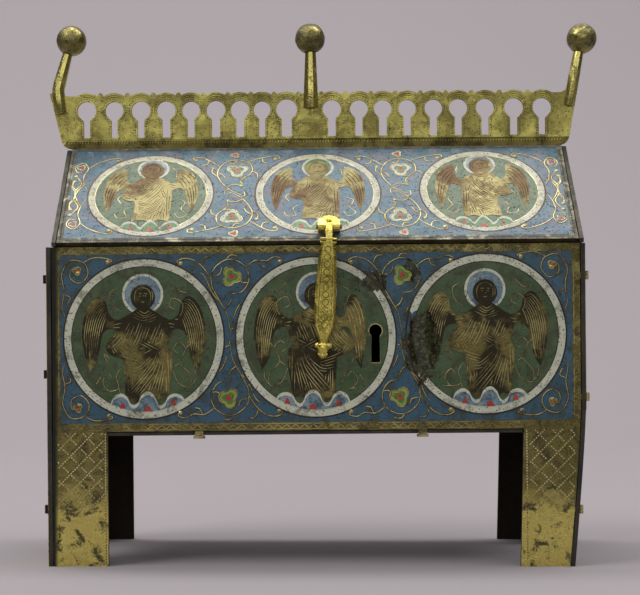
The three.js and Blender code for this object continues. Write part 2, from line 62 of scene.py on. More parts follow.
# %% Upright drawing frame
lid_hinge = next(joint for joint in frame["joints"] if joint["name"] == "lid_hinge")
hasp_hinge = next(joint for joint in frame["joints"] if joint["name"] == "hasp_hinge")
lean = math.asin(-lid_hinge["axis"][2])
pivot = Vector(lid_hinge["pos_m"])
SET_DOWN = (
    Matrix.Translation((pivot.x + pivot.z * math.tan(lean), 0, 0))
    @ Matrix.Rotation(-lean, 4, "Y")
    @ Matrix.Scale(MM, 4)
)
STAND_UP = SET_DOWN.inverted()


def upright_points(node):
    """The corners of a construction solid in upright millimetres."""
    return [STAND_UP @ vertex.co for vertex in frame["nodes"][node].data.vertices]


def upright_box(node):
    points = upright_points(node)
    return [(min(p[i] for p in points), max(p[i] for p in points)) for i in range(3)]


print("lean in degrees:", round(math.degrees(lean), 2))

# %% [markdown]
# Each decorated plate gets a drawing board: a matrix whose first axis runs to the right as one looks
# at the plate, the second up, and the third out of the metal towards the eye.  A shape drawn flat at
# height w on a board then lies w millimetres above that plate's face.

# %% Drawing boards


def board(origin, right, up):
    right, up = Vector(right), Vector(up)
    out = right.cross(up)
    turn = Matrix((right, up, out)).transposed().to_4x4()
    return SET_DOWN @ Matrix.Translation(origin) @ turn


END_FACE = max(point.x for point in upright_points("right_end_plate"))
FACE_Y = -36.0
roof_points = upright_points("roof_front")
eave = min(roof_points, key=lambda p: p.y)
ridge = max(roof_points, key=lambda p: p.z)
ROOF_X = sum(upright_box("roof_front")[0]) / 2
ROOF_HALF = (upright_box("roof_front")[0][1] - upright_box("roof_front")[0][0]) / 2
PITCH = math.atan2(ridge.z - eave.z, ridge.y - eave.y)
ROOF_LENGTH = math.hypot(ridge.z - eave.z, ridge.y - eave.y)
GABLE_FACE = upright_box("right_gable")[0][1] - ROOF_X

FRONT = board((0, FACE_Y, 0), (1, 0, 0), (0, 0, 1))
BACK = board((0, -FACE_Y, 0), (-1, 0, 0), (0, 0, 1))
LEFT_END = board((-END_FACE, 0, 0), (0, -1, 0), (0, 0, 1))
RIGHT_END = board((END_FACE, 0, 0), (0, 1, 0), (0, 0, 1))
ROOF_FRONT = board((ROOF_X, eave.y, eave.z), (1, 0, 0), (0, math.cos(PITCH), math.sin(PITCH)))
ROOF_BACK = board((ROOF_X, -eave.y, eave.z), (-1, 0, 0), (0, -math.cos(PITCH), math.sin(PITCH)))
LEFT_GABLE = board((ROOF_X - GABLE_FACE, 0, 0), (0, -1, 0), (0, 0, 1))
RIGHT_GABLE = board((ROOF_X + GABLE_FACE, 0, 0), (0, 1, 0), (0, 0, 1))
print("roof pitch", round(math.degrees(PITCH), 1), "slope length", round(ROOF_LENGTH, 1), "mm")

# %% [markdown]
# ## Camera, floor and light
#
# The camera stands level with the middle of the walls, close enough that the back feet look
# noticeably smaller than the front ones.  It looks level, and its lens is shifted up to take in the
# knobs, as a studio camera would be, so upright edges stay upright.

# %% Camera
scene = bpy.context.scene
FRAME_WIDTH = 640
FOCAL_REACH = 1557
SENSOR = 36.0

camera_data = bpy.data.cameras.new("camera")
camera_data.sensor_width = SENSOR
camera_data.lens = SENSOR * FOCAL_REACH / FRAME_WIDTH
camera_data.shift_y = 38.5 / FRAME_WIDTH
camera_data.clip_start = 0.01
camera = bpy.data.objects.new("camera", camera_data)
camera.location = (-0.00112, -0.5584, 0.0773)
camera.rotation_euler = (math.pi / 2, 0, 0)
scene.collection.objects.link(camera)
scene.camera = camera
scene.view_settings.view_transform = "Standard"
print("lens", round(camera_data.lens, 1), "mm")

# %% [markdown]
# A roll of pale paper runs from the table up behind the casket without a fold, so the ground has no
# horizon.  We make it from one edge: extruded back along the table, spun through a quarter turn,
# and extruded up.  It isn't part of the casket.

# %% Paper sweep


def srgb(red, green, blue):
    """A colour given as screen values from 0 to 255, as the linear colour that shaders use."""
    def linear(value):
        part = value / 255
        return part / 12.92 if part <= 0.04045 else ((part + 0.055) / 1.055) ** 2.4
    return (linear(red), linear(green), linear(blue), 1.0)


def paper_sweep(half_width=2.6, near=-0.32, far=0.55, bend=0.75, top=2.4):
    bm = bmesh.new()
    ends = [bm.verts.new((x, near, 0)) for x in (-half_width, half_width)]
    strip = [bm.edges.new(ends)]
    for move in ((0, far - near, 0), None, (0, 0, top)):
        if move:
            new = bmesh.ops.extrude_edge_only(bm, edges=strip)["geom"]
            verts = [v for v in new if isinstance(v, bmesh.types.BMVert)]
            bmesh.ops.translate(bm, verts=verts, vec=move)
            strip = [e for e in new if isinstance(e, bmesh.types.BMEdge)]
        else:
            new = bmesh.ops.spin(bm, geom=strip, cent=(0, far, bend), axis=(1, 0, 0),
                                 angle=math.pi / 2, steps=24)["geom_last"]
            strip = [e for e in new if isinstance(e, bmesh.types.BMEdge)]
    bmesh.ops.remove_doubles(bm, verts=bm.verts, dist=1e-5)
    bmesh.ops.recalc_face_normals(bm, faces=bm.faces)
    mesh = bpy.data.meshes.new("paper_sweep")
    bm.to_mesh(mesh)
    bm.free()
    mesh.shade_smooth()
    sweep = bpy.data.objects.new("paper_sweep", mesh)
    scene.collection.objects.link(sweep)
    return sweep


sweep = paper_sweep()
paper = bpy.data.materials.new("paper")
paper.use_nodes = True
paper.node_tree.nodes["Principled BSDF"].inputs["Base Color"].default_value = srgb(157, 150, 153)
paper.node_tree.nodes["Principled BSDF"].inputs["Roughness"].default_value = 0.9
sweep.data.materials.append(paper)
print("sweep faces:", len(sweep.data.polygons))

# %% [markdown]
# Two big softboxes hang to the left and right above the casket, and a third one straight over it.
# Polished metal shows what it mirrors: the sloping roof mirrors the light overhead and looks bright
# gold, while the upright walls mirror the dim room in front of them and look brown, with only the
# rough bottoms of their engraved lines lit.  Those bottoms are also coloured a brighter gold, as
# painted highlight.

# %% Softboxes


def softbox(name, place, size, power, target=(0, 0, 0.09), colour=(1, 1, 1)):
    data = bpy.data.lights.new(name, "AREA")
    data.shape = "RECTANGLE"
    data.size, data.size_y = size
    data.energy = power
    data.color = colour
    light = bpy.data.objects.new(name, data)
    light.location = place
    aim = Vector(target) - Vector(place)
    light.rotation_euler = aim.to_track_quat("-Z", "Y").to_euler()
    scene.collection.objects.link(light)
    return light


softbox("softbox_left", (-0.80, -0.46, 1.12), (0.60, 0.60), 7.0)
softbox("softbox_right", (0.80, -0.02, 1.20), (0.50, 0.50), 4.0)
softbox("softbox_top", (0.0, -0.10, 1.60), (3.0, 2.2), 12.0)
softbox("softbox_front", (0.0, -2.1, 0.88), (2.4, 0.9), 9.0)
softbox("backdrop_wash", (-0.3, 0.35, 2.0), (2.4, 0.6), 30.0, target=(-0.2, 1.3, 0.5))
world = bpy.data.worlds.new("dim_room")
world.use_nodes = True
world.node_tree.nodes["Background"].inputs["Color"].default_value = (0.20, 0.19, 0.19, 1)
world.node_tree.nodes["Background"].inputs["Strength"].default_value = 0.45
scene.world = world

# %% [markdown]
# ## Finishes
#
# Every finish is a material with a Principled shader of its own.  Effects that several finishes
# share, such as wear, pits and corrosion, are node groups: built once, then placed in each material
# with its own values.  All of them read Object coordinates.  Because a finished piece stays at the
# origin, those are simply metres on the casket, so a pattern of scale 200 has features 5 mm wide.

# %% Words for building node trees


def add_node(tree, kind, inputs=None, **settings):
    """Adds a node, sets its properties, and fills its inputs with values or other nodes' outputs."""
    node = tree.nodes.new(kind)
    for key, value in settings.items():
        setattr(node, key, value)
    for key, value in (inputs or {}).items():
        if isinstance(value, bpy.types.NodeSocket):
            tree.links.new(value, node.inputs[key])
        else:
            node.inputs[key].default_value = value
    return node


def mix_colours(tree, factor, first, second, blend="MIX"):
    node = add_node(tree, "ShaderNodeMix", {0: factor, 6: first, 7: second}, data_type="RGBA",
                    blend_type=blend)
    return node.outputs[2]


def calculate(tree, operation, first, second=0.0, clamp=False):
    node = add_node(tree, "ShaderNodeMath", {0: first, 1: second}, operation=operation,
                    use_clamp=clamp)
    return node.outputs[0]


def remap(tree, value, low, high, to_low=0.0, to_high=1.0):
    """Stretches a value from the range low..high to a new range, with soft ends."""
    node = add_node(tree, "ShaderNodeMapRange", {"Value": value, "From Min": low, "From Max": high,
                    "To Min": to_low, "To Max": to_high}, interpolation_type="SMOOTHSTEP")
    return node.outputs[0]


def noise_of(tree, vector, scale, detail=4.0, roughness=0.6, distortion=0.0):
    node = add_node(tree, "ShaderNodeTexNoise", {"Vector": vector, "Scale": scale, "Detail": detail,
                    "Roughness": roughness, "Distortion": distortion})
    return node.outputs["Fac"]


def new_group(name, inputs, outputs):
    """A node group with named sockets: inputs as {name: default}, outputs as names."""
    group = bpy.data.node_groups.new(name, "ShaderNodeTree")
    for label, default in inputs.items():
        kind = "NodeSocketVector" if isinstance(default, tuple) else "NodeSocketFloat"
        socket = group.interface.new_socket(label, in_out="INPUT", socket_type=kind)
        socket.default_value = default
    for label in outputs:
        group.interface.new_socket(label, in_out="OUTPUT", socket_type="NodeSocketFloat")
    return group, group.nodes.new("NodeGroupInput").outputs, group.nodes.new("NodeGroupOutput").inputs


def place_group(tree, group, inputs):
    return add_node(tree, "ShaderNodeGroup", inputs, node_tree=group).outputs


# %% [markdown]
# **Wear** comes in patches with ragged edges, a few millimetres wide, so it is a fine noise laid over
# a coarse one and cut off at a height that the Amount sets.

# %% Node group: wear


def wear_group():
    group, given, result = new_group("wear", {"Vector": (0.0, 0.0, 0.0), "Scale": 120.0,
                                              "Amount": 0.4, "Softness": 0.1}, ["Mask"])
    coarse = noise_of(group, given["Vector"], given["Scale"], 3.0, 0.55, 0.6)
    fine_scale = calculate(group, "MULTIPLY", given["Scale"], 7.0)
    fine = noise_of(group, given["Vector"], fine_scale, 5.0, 0.7)
    both = calculate(group, "ADD", calculate(group, "MULTIPLY", coarse, 0.65),
                     calculate(group, "MULTIPLY", fine, 0.35))
    level = calculate(group, "SUBTRACT", 0.74, calculate(group, "MULTIPLY", given["Amount"], 0.48))
    low = calculate(group, "SUBTRACT", level, given["Softness"])
    high = calculate(group, "ADD", level, given["Softness"])
    group.links.new(remap(group, both, low, high), result["Mask"])
    return group


WEAR = wear_group()

# %% [markdown]
# **Pits** are the burst bubbles of old enamel and the small dark holes of worn gilding.  Each cell of
# a Voronoi texture holds one, but a noise leaves most cells without.

# %% Node group: pits


def pits_group():
    group, given, result = new_group("pits", {"Vector": (0.0, 0.0, 0.0), "Scale": 900.0,
                                              "Amount": 0.3, "Size": 0.25}, ["Mask"])
    cells = add_node(group, "ShaderNodeTexVoronoi", {"Vector": given["Vector"],
                     "Scale": given["Scale"]}, feature="F1")
    inner = calculate(group, "MULTIPLY", given["Size"], 0.5)
    hole = remap(group, cells.outputs["Distance"], given["Size"], inner)
    chosen = add_node(group, "ShaderNodeTexWhiteNoise", {"Vector": cells.outputs["Position"]},
                      noise_dimensions="3D")
    kept = calculate(group, "LESS_THAN", chosen.outputs["Value"], given["Amount"])
    group.links.new(calculate(group, "MULTIPLY", hole, kept), result["Mask"])
    return group


PITS = pits_group()

# %% [markdown]
# **Corrosion** eats a place of its own: an ellipse around a centre, its edge torn by noise.

# %% Node group: corrosion


def corrosion_group():
    group, given, result = new_group("corrosion", {"Vector": (0.0, 0.0, 0.0),
                                     "Centre": (0.0, 0.0, 0.0), "Size": (1.0, 1.0, 1.0),
                                     "Ragged": 0.6}, ["Mask"])
    apart = add_node(group, "ShaderNodeVectorMath", {0: given["Vector"], 1: given["Centre"]},
                     operation="SUBTRACT")
    scaled = add_node(group, "ShaderNodeVectorMath", {0: apart.outputs[0], 1: given["Size"]},
                      operation="DIVIDE")
    far = add_node(group, "ShaderNodeVectorMath", {0: scaled.outputs[0]}, operation="LENGTH")
    tear = calculate(group, "SUBTRACT", noise_of(group, given["Vector"], 210.0, 5.0, 0.65, 0.4), 0.5)
    torn = calculate(group, "ADD", far.outputs["Value"],
                     calculate(group, "MULTIPLY", calculate(group, "MULTIPLY", tear, 3.2),
                               given["Ragged"]))
    group.links.new(remap(group, torn, 1.08, 0.92), result["Mask"])
    return group


CORROSION = corrosion_group()

# %% [markdown]
# **Inside.** Only the outsides were gilt.  A face of the casket looks inwards when its normal points
# towards the middle of the box, so the product of the two tells the bare side from the gilt one.

# %% Node group: bare inside


def inside_group():
    group, given, result = new_group("bare_inside", {"Vector": (0.0, 0.0, 0.0),
                                                     "Normal": (0.0, 0.0, 1.0)}, ["Mask"])
    outwards = add_node(group, "ShaderNodeVectorMath", {0: given["Vector"], 1: (0.0, 0.0, 0.085)},
                        operation="SUBTRACT")
    facing = add_node(group, "ShaderNodeVectorMath", {0: outwards.outputs[0], 1: given["Normal"]},
                      operation="DOT_PRODUCT")
    bare = calculate(group, "LESS_THAN", facing.outputs["Value"], 0.0)
    group.links.new(bare, result["Mask"])
    return group


BARE_INSIDE = inside_group()
print("node groups:", [group.name for group in bpy.data.node_groups])

# %% [markdown]
# **Gilt copper** is one finish in several states.  The bright state is nearly whole gold; the worn
# state lets brown copper through in patches and along rough places.  Gold and copper are both
# metals, so wear changes the colour and the roughness, and only thick tarnish is less metallic.  A
# slow noise in the bump stands for hammering: without it a flat plate would mirror the room as one
# even tone.

# %% Finish: gilt copper
CORRODED = [  # centre and size in upright millimetres: where the front plate has lost its surface
    ((34.8, -36.0, 74.5), (5.6, 9.0, 12.0), 0.7),
    ((18.6, -36.0, 95.0), (4.6, 9.0, 3.2), 1.1),
    ((32.5, -36.0, 99.0), (3.0, 9.0, 3.6), 1.1),
]


def corroded_mask(tree, coordinates):
    total = None
    for centre, size, ragged in CORRODED:
        mask = place_group(tree, CORROSION, {
            "Vector": coordinates, "Centre": tuple(SET_DOWN @ Vector(centre)),
            "Size": tuple(part * MM for part in size), "Ragged": ragged,
        })["Mask"]
        total = mask if total is None else calculate(tree, "MAXIMUM", total, mask)
    return total


def crust_colour(tree, coordinates):
    """Black and brown crust with a little green in it."""
    coarse = remap(tree, noise_of(tree, coordinates, 420.0, 4.0, 0.7), 0.42, 0.62)
    fine = remap(tree, noise_of(tree, coordinates, 1100.0, 4.0, 0.7), 0.5, 0.68)
    crust = mix_colours(tree, coarse, (0.012, 0.012, 0.006, 1), (0.050, 0.058, 0.022, 1))
    return mix_colours(tree, fine, crust, (0.15, 0.135, 0.055, 1))


def start_material(name):
    material = bpy.data.materials.new(name)
    material.use_nodes = True
    tree = material.node_tree
    coordinates = tree.nodes.new("ShaderNodeTexCoord").outputs["Object"]
    return material, tree, tree.nodes["Principled BSDF"], coordinates


def gilt_finish(name, gold, under, wear, rough=0.3, wear_scale=120.0, pits=0.25, dents=0.05,
                scratches=0.3, corroded=False, lined=False, margin=False, painted_lower_feet=None):
    material, tree, shader, at = start_material(name)
    worn = place_group(tree, WEAR, {"Vector": at, "Scale": wear_scale, "Amount": wear,
                                    "Softness": 0.09})["Mask"]
    holes = place_group(tree, PITS, {"Vector": at, "Scale": 1100.0, "Amount": pits,
                                     "Size": 0.3})["Mask"]
    tone = noise_of(tree, at, 45.0, 3.0, 0.5)  # slow: whole areas a little deeper in colour
    deep_gold = tuple(part * 0.72 for part in gold[:3]) + (1.0,)
    colour = mix_colours(tree, remap(tree, tone, 0.35, 0.7), gold, deep_gold)
    colour = mix_colours(tree, worn, colour, under)
    colour = mix_colours(tree, calculate(tree, "MULTIPLY", holes, 0.75), colour,
                         (0.02, 0.016, 0.01, 1))
    bare = calculate(tree, "MAXIMUM", worn, holes)
    if corroded:
        eaten = corroded_mask(tree, at)
        crust = crust_colour(tree, at)
        colour = mix_colours(tree, eaten, colour, crust)
        bare = calculate(tree, "MAXIMUM", bare, eaten)
    grain = noise_of(tree, at, 420.0, 3.0, 0.6)
    if painted_lower_feet:  # painted light low on the feet: brighter gold on skins, dark on dots
        height = add_node(tree, "ShaderNodeSeparateXYZ", {0: at}).outputs["Z"]
        torn = calculate(tree, "MULTIPLY", noise_of(tree, at, 130.0, 4.0, 0.6), 0.022)
        lower_feet_band = remap(tree, calculate(tree, "ADD", height, torn), 0.040, 0.027)
        colour = mix_colours(tree, calculate(tree, "MULTIPLY", lower_feet_band, remap(tree, worn, 1.0, 0.2)),
                             colour, painted_lower_feet)
    if margin:  # the front plate's outer edges, where gilding has gone
        across = add_node(tree, "ShaderNodeSeparateXYZ", {0: at}).outputs["X"]
        edge = remap(tree, calculate(tree, "ABSOLUTE", across), 0.0885, 0.0901)
        colour = mix_colours(tree, edge, colour, (0.028, 0.03, 0.022, 1))
        bare = calculate(tree, "MAXIMUM", bare, edge)
    if lined:  # the side that looks into the casket was never gilt
        normal = tree.nodes["Texture Coordinate"].outputs["Normal"]
        inner = place_group(tree, BARE_INSIDE, {"Vector": at, "Normal": normal})["Mask"]
        old = mix_colours(tree, grain, (0.018, 0.016, 0.013, 1), (0.065, 0.048, 0.032, 1))
        colour = mix_colours(tree, inner, colour, old)
        bare = calculate(tree, "MAXIMUM", bare, inner)
    roughness = calculate(tree, "ADD", calculate(tree, "MULTIPLY", grain, 0.22), rough - 0.11)
    roughness = calculate(tree, "ADD", roughness, calculate(tree, "MULTIPLY", bare, 0.26), True)
    slow = noise_of(tree, at, 70.0, 2.0, 0.5)
    lines = add_node(tree, "ShaderNodeMapping", {"Vector": at, "Scale": (300.0, 300.0, 4200.0),
                     "Rotation": (0.5, 0.9, 0.35)})
    hair = noise_of(tree, lines.outputs[0], 1.0, 3.0, 0.7)
    height = calculate(tree, "MULTIPLY", slow, dents)
    height = calculate(tree, "ADD", height, calculate(tree, "MULTIPLY", grain, dents * 0.12))
    height = calculate(tree, "ADD", height, calculate(tree, "MULTIPLY", hair, 0.004 * scratches))
    height = calculate(tree, "SUBTRACT", height, calculate(tree, "MULTIPLY", bare, 0.012))
    bump = add_node(tree, "ShaderNodeBump", {"Height": height, "Distance": 0.012,
                    "Strength": 1.0})
    for socket, value in (("Base Color", colour), ("Roughness", roughness),
                          ("Metallic", remap(tree, bare, 0.0, 1.0, 1.0, 0.82)),
                          ("Normal", bump.outputs[0])):
        tree.links.new(value, shader.inputs[socket])
    return material


WALL_SKIN_GILT = gilt_finish("gilt_wall_borders", (0.27, 0.23, 0.08, 1), (0.085, 0.072, 0.035, 1),
                             wear=0.42, rough=0.27, wear_scale=190.0, dents=0.07, corroded=True,
                             margin=True, painted_lower_feet=(0.66, 0.55, 0.16, 1))
END_SKIN_GILT = gilt_finish("gilt_end_borders", (0.36, 0.30, 0.10, 1), (0.11, 0.09, 0.04, 1),
                            wear=0.42, rough=0.3, wear_scale=170.0, dents=0.07,
                            painted_lower_feet=(0.66, 0.55, 0.16, 1))
WALL_FIGURE_GILT = gilt_finish("gilt_wall_figures", (0.30, 0.25, 0.09, 1), (0.042, 0.036, 0.02, 1),
                               wear=0.6, rough=0.34, wear_scale=62.0, corroded=True)
# Painted highlight: the walls' engraved lines show this finish, so its gold is brighter than the skin's
WALL_GROOVE_HIGHLIGHT_GILT = gilt_finish("gilt_wall_grooves_painted_highlight", (0.66, 0.58, 0.28, 1), (0.22, 0.18, 0.09, 1),
                               wear=0.4, rough=0.62, pits=0.1, corroded=True, lined=True,
                               margin=True)
LINE_GILT = gilt_finish("gilt_wall_lines", (0.58, 0.50, 0.22, 1), (0.14, 0.10, 0.045, 1), wear=0.42,
                        rough=0.42, wear_scale=220.0, pits=0.1, dents=0.03, corroded=True)
# Painted highlight: the punched dots on the wall skins are bright ovals of this gold
PUNCH_HIGHLIGHT_GILT = gilt_finish("gilt_wall_punched_painted_highlight", (0.86, 0.76, 0.40, 1), (0.52, 0.46, 0.22, 1),
                         wear=0.4, rough=0.5, pits=0.1, painted_lower_feet=(0.10, 0.075, 0.03, 1))
ROOF_SKIN_GILT = gilt_finish("gilt_roof_borders", (0.25, 0.235, 0.17, 1), (0.12, 0.115, 0.10, 1),
                             wear=0.5, rough=0.42, wear_scale=260.0)
ROOF_FIGURE_GILT = gilt_finish("gilt_roof_figures", (0.28, 0.24, 0.115, 1), (0.20, 0.13, 0.075, 1),
                               wear=0.46, rough=0.42, wear_scale=75.0)
# Painted shade: the roof's engraved lines show this finish, so its gold is darker than the lit skin
ROOF_GROOVE_SHADE_GILT = gilt_finish("gilt_roof_grooves_painted_shade", (0.10, 0.082, 0.04, 1), (0.045, 0.036, 0.02, 1),
                               wear=0.4, rough=0.7, pits=0.1, lined=True)
ROOF_LINE_GILT = gilt_finish("gilt_roof_lines", (0.74, 0.66, 0.36, 1), (0.40, 0.32, 0.18, 1),
                             wear=0.34, rough=0.45, wear_scale=220.0, pits=0.1, dents=0.03)
CREST_GILT = gilt_finish("gilt_crest", (0.58, 0.52, 0.15, 1), (0.34, 0.29, 0.09, 1), wear=0.42,
                         rough=0.4, pits=0.45, dents=0.09)
# Painted shade: the crest's engraved lines and cut edges show this darkened gold
CREST_GROOVE_SHADE_GILT = gilt_finish("gilt_crest_grooves_painted_shade", (0.26, 0.22, 0.07, 1), (0.10, 0.08, 0.03, 1),
                                wear=0.4, rough=0.55)
STEM_GILT = gilt_finish("gilt_stems", (0.62, 0.54, 0.17, 1), (0.20, 0.17, 0.065, 1), wear=0.32,
                        rough=0.25, dents=0.03)
KNOB_GILT = gilt_finish("gilt_knobs", (0.36, 0.31, 0.11, 1), (0.09, 0.08, 0.04, 1), wear=0.45,
                        rough=0.28, pits=0.6)
HASP_GILT = gilt_finish("gilt_hasp", (0.88, 0.73, 0.17, 1), (0.58, 0.46, 0.11, 1), wear=0.3,
                        rough=0.26, pits=0.2)
# Painted shade: the hasp's engraved lines show this darkened gold
HASP_GROOVE_SHADE_GILT = gilt_finish("gilt_hasp_grooves_painted_shade", (0.20, 0.155, 0.05, 1), (0.07, 0.055, 0.025, 1),
                               wear=0.4, rough=0.6)
print("gilt finishes:", [m.name for m in bpy.data.materials if m.name.startswith("gilt")])

# %% [markdown]
# **Enamel** is glass fused into troughs in the copper, then ground flat.  Its colour is never even:
# one colour clouds into another, burst bubbles leave pits, and dirt fills them.  It is a glossy
# non-metal, so the base colour carries the look, and a fine bump breaks the gloss.

# %% Finish: enamel


def enamel_finish(name, main, cloud, stain, clouding=0.5, staining=0.3, pits=0.35, rough=0.3,
                  corroded=False):
    material, tree, shader, at = start_material(name)
    clouds = place_group(tree, WEAR, {"Vector": at, "Scale": 95.0, "Amount": clouding,
                                      "Softness": 0.16})["Mask"]
    stains = place_group(tree, WEAR, {"Vector": at, "Scale": 240.0, "Amount": staining,
                                      "Softness": 0.07})["Mask"]
    holes = place_group(tree, PITS, {"Vector": at, "Scale": 1250.0, "Amount": pits,
                                     "Size": 0.34})["Mask"]
    speckle = noise_of(tree, at, 1500.0, 3.0, 0.7)
    colour = mix_colours(tree, clouds, main, cloud)
    colour = mix_colours(tree, calculate(tree, "MULTIPLY", stains, 0.8), colour, stain)
    shade = tuple(part * 0.62 for part in main[:3]) + (1.0,)
    colour = mix_colours(tree, remap(tree, speckle, 0.5, 0.72, 0.0, 0.55), colour, shade)
    colour = mix_colours(tree, calculate(tree, "MULTIPLY", holes, 0.85), colour,
                         (0.022, 0.02, 0.014, 1))
    rim = holes
    if corroded:
        eaten = corroded_mask(tree, at)
        crust = crust_colour(tree, at)
        colour = mix_colours(tree, eaten, colour, crust)
        rim = calculate(tree, "MAXIMUM", holes, eaten)
    roughness = calculate(tree, "ADD", rough - 0.06, calculate(tree, "MULTIPLY", speckle, 0.16))
    roughness = calculate(tree, "ADD", roughness, calculate(tree, "MULTIPLY", rim, 0.35), True)
    height = calculate(tree, "MULTIPLY", noise_of(tree, at, 130.0, 2.0, 0.5), 0.03)
    height = calculate(tree, "ADD", height, calculate(tree, "MULTIPLY", speckle, 0.004))
    height = calculate(tree, "SUBTRACT", height, calculate(tree, "MULTIPLY", rim, 0.014))
    bump = add_node(tree, "ShaderNodeBump", {"Height": height, "Distance": 0.012,
                    "Strength": 1.0})
    for socket, value in (("Base Color", colour), ("Roughness", roughness),
                          ("Normal", bump.outputs[0])):
        tree.links.new(value, shader.inputs[socket])
    return material


WALL_BLUE = enamel_finish("enamel_blue_walls", srgb(64, 98, 122), srgb(54, 88, 104),
                          srgb(58, 64, 50), clouding=0.55, staining=0.44, corroded=True)
WALL_GREEN = enamel_finish("enamel_green_walls", srgb(60, 92, 54), srgb(82, 96, 66),
                           srgb(62, 66, 44), clouding=0.55, staining=0.44, corroded=True)
WALL_WHITE = enamel_finish("enamel_white_walls", srgb(200, 204, 182), srgb(216, 216, 194),
                           srgb(104, 108, 88), staining=0.36, pits=0.55, corroded=True)
HALO_BLUE = enamel_finish("enamel_halo_blue", srgb(66, 98, 128), srgb(142, 162, 166),
                          srgb(40, 56, 62), clouding=0.58, staining=0.42, corroded=True)
# Painted shade and dirt: dark ribs along the metal lines and round the rings
SHADE_AND_GRIME = enamel_finish("grime", srgb(34, 30, 22), srgb(58, 48, 30), srgb(22, 24, 20), rough=0.7)
ROOF_SHADE_AND_GRIME = enamel_finish("shade_and_grime_roof", srgb(92, 66, 44), srgb(120, 104, 72), srgb(60, 58, 50),
                           rough=0.6)
RED = enamel_finish("enamel_red", srgb(166, 48, 40), srgb(180, 78, 52), srgb(96, 44, 34))
YELLOW = enamel_finish("enamel_yellow", srgb(170, 168, 74), srgb(136, 156, 66), srgb(104, 112, 54))
LEAF_GREEN = enamel_finish("enamel_leaf_green", srgb(60, 116, 66), srgb(98, 134, 70),
                           srgb(52, 76, 48))
ROOF_BLUE = enamel_finish("enamel_blue_roof", srgb(62, 92, 114), srgb(70, 112, 122),
                          srgb(104, 98, 104), clouding=0.48, staining=0.4)
ROOF_GREEN = enamel_finish("enamel_green_roof", srgb(60, 88, 46), srgb(84, 104, 64),
                           srgb(84, 84, 56), clouding=0.45)
ROOF_WHITE = enamel_finish("enamel_white_roof", srgb(182, 180, 154), srgb(200, 198, 176),
                           srgb(126, 116, 88), staining=0.36, pits=0.5)

# %% [markdown]
# **Bare copper** was never gilt: the inside, the floor and the pins have gone brown and black.

# %% Finish: bare copper


def copper_finish(name, light, dark, rough):
    material, tree, shader, at = start_material(name)
    blotch = place_group(tree, WEAR, {"Vector": at, "Scale": 90.0, "Amount": 0.55,
                                      "Softness": 0.2})["Mask"]
    grain = noise_of(tree, at, 700.0, 4.0, 0.65)
    colour = mix_colours(tree, blotch, light, dark)
    height = calculate(tree, "ADD", calculate(tree, "MULTIPLY", grain, 0.008),
                       calculate(tree, "MULTIPLY", noise_of(tree, at, 80.0, 2.0), 0.05))
    bump = add_node(tree, "ShaderNodeBump", {"Height": height, "Distance": 0.012})
    shader.inputs["Metallic"].default_value = 0.75
    for socket, value in (("Base Color", colour), ("Normal", bump.outputs[0]),
                          ("Roughness", remap(tree, grain, 0.2, 0.8, rough - 0.12, rough + 0.12))):
        tree.links.new(value, shader.inputs[socket])
    return material


DARK_COPPER = copper_finish("copper_dark", (0.088, 0.074, 0.054, 1), (0.034, 0.033, 0.029, 1), 0.5)
print("finishes:", len(bpy.data.materials))

# %% [markdown]
# ## Dress the construction solids
#
# Most of the solids have the right shape already and only change their material.  The plates keep
# worn gilding all over: it shows as the borders, and as the thin ribs between the enamels.

# %% Give the solids their finishes


def dress(material, *nodes):
    for node in nodes:
        piece = frame["nodes"][node]
        for material_slot in piece.material_slots:
            material_slot.material = material


# Painted highlight: the wall plates show in the engraved lines, in a brighter gold than the skins
dress(WALL_GROOVE_HIGHLIGHT_GILT, "front_plate", "back_plate")
# Painted shade: the roof plates show in the engraved lines, in a darker gold than the skins
dress(ROOF_GROOVE_SHADE_GILT, "roof_front", "roof_back")
dress(DARK_COPPER, "left_end_plate", "right_end_plate", "left_gable", "right_gable", "floor_plate",
      "left_hinge_pin", "right_hinge_pin", "hasp_hinge_pin")
dress(ROOF_SKIN_GILT, "left_hinge_body_leaf", "right_hinge_body_leaf", "left_hinge_lid_leaf",
      "right_hinge_lid_leaf")
dress(HASP_GILT, "hasp_hinge_leaf", "hasp")
dress(CREST_GROOVE_SHADE_GILT, "crest")
dress(CREST_GILT, "left_stem", "middle_stem", "right_stem", "left_knob", "middle_knob",
      "right_knob")
print("solids dressed:", len(frame["nodes"]))

# %% [markdown]
# ## Drawing on a board
#
# The decoration is drawn flat, in millimetres, as lists of points on a drawing board.  A smooth line
# runs through a few chosen points, which is how an engraver plans a scroll; a point given twice makes
# a corner.  Closed outlines become thin plates of glass or metal: a flat curve fills the space between
# an outline and the loops inside it, so an engraved line is simply one more loop, a real slit through a
# thin gilt skin with the rougher metal below showing at its bottom.  That metal is coloured brighter on
# the walls, as painted highlight, and darker on the roof, crest and hasp, as painted shade.

# %% Lines and outlines


def smooth(points, closed=False, steps=5):
    """Points along a smooth curve through the given ones (a Catmull-Rom spline)."""
    points = [Vector(p) for p in points]
    count = len(points)
    spans = count if closed else count - 1
    line = []
    for i in range(spans):
        if closed:
            before, here, there, after = (points[(i + k) % count] for k in (-1, 0, 1, 2))
        else:
            before, here, there, after = (points[min(max(i + k, 0), count - 1)] for k in (-1, 0, 1, 2))
        for step in range(steps if (there - here).length > 1e-6 else 1):
            t = step / steps
            line.append(0.5 * (2 * here + (there - before) * t
                               + (2 * before - 5 * here + 4 * there - after) * t * t
                               + (3 * here - before - 3 * there + after) * t ** 3))
    if not closed:
        line.append(points[-1])
    return [tuple(p) for i, p in enumerate(line) if i == 0 or (p - line[i - 1]).length > 1e-4]


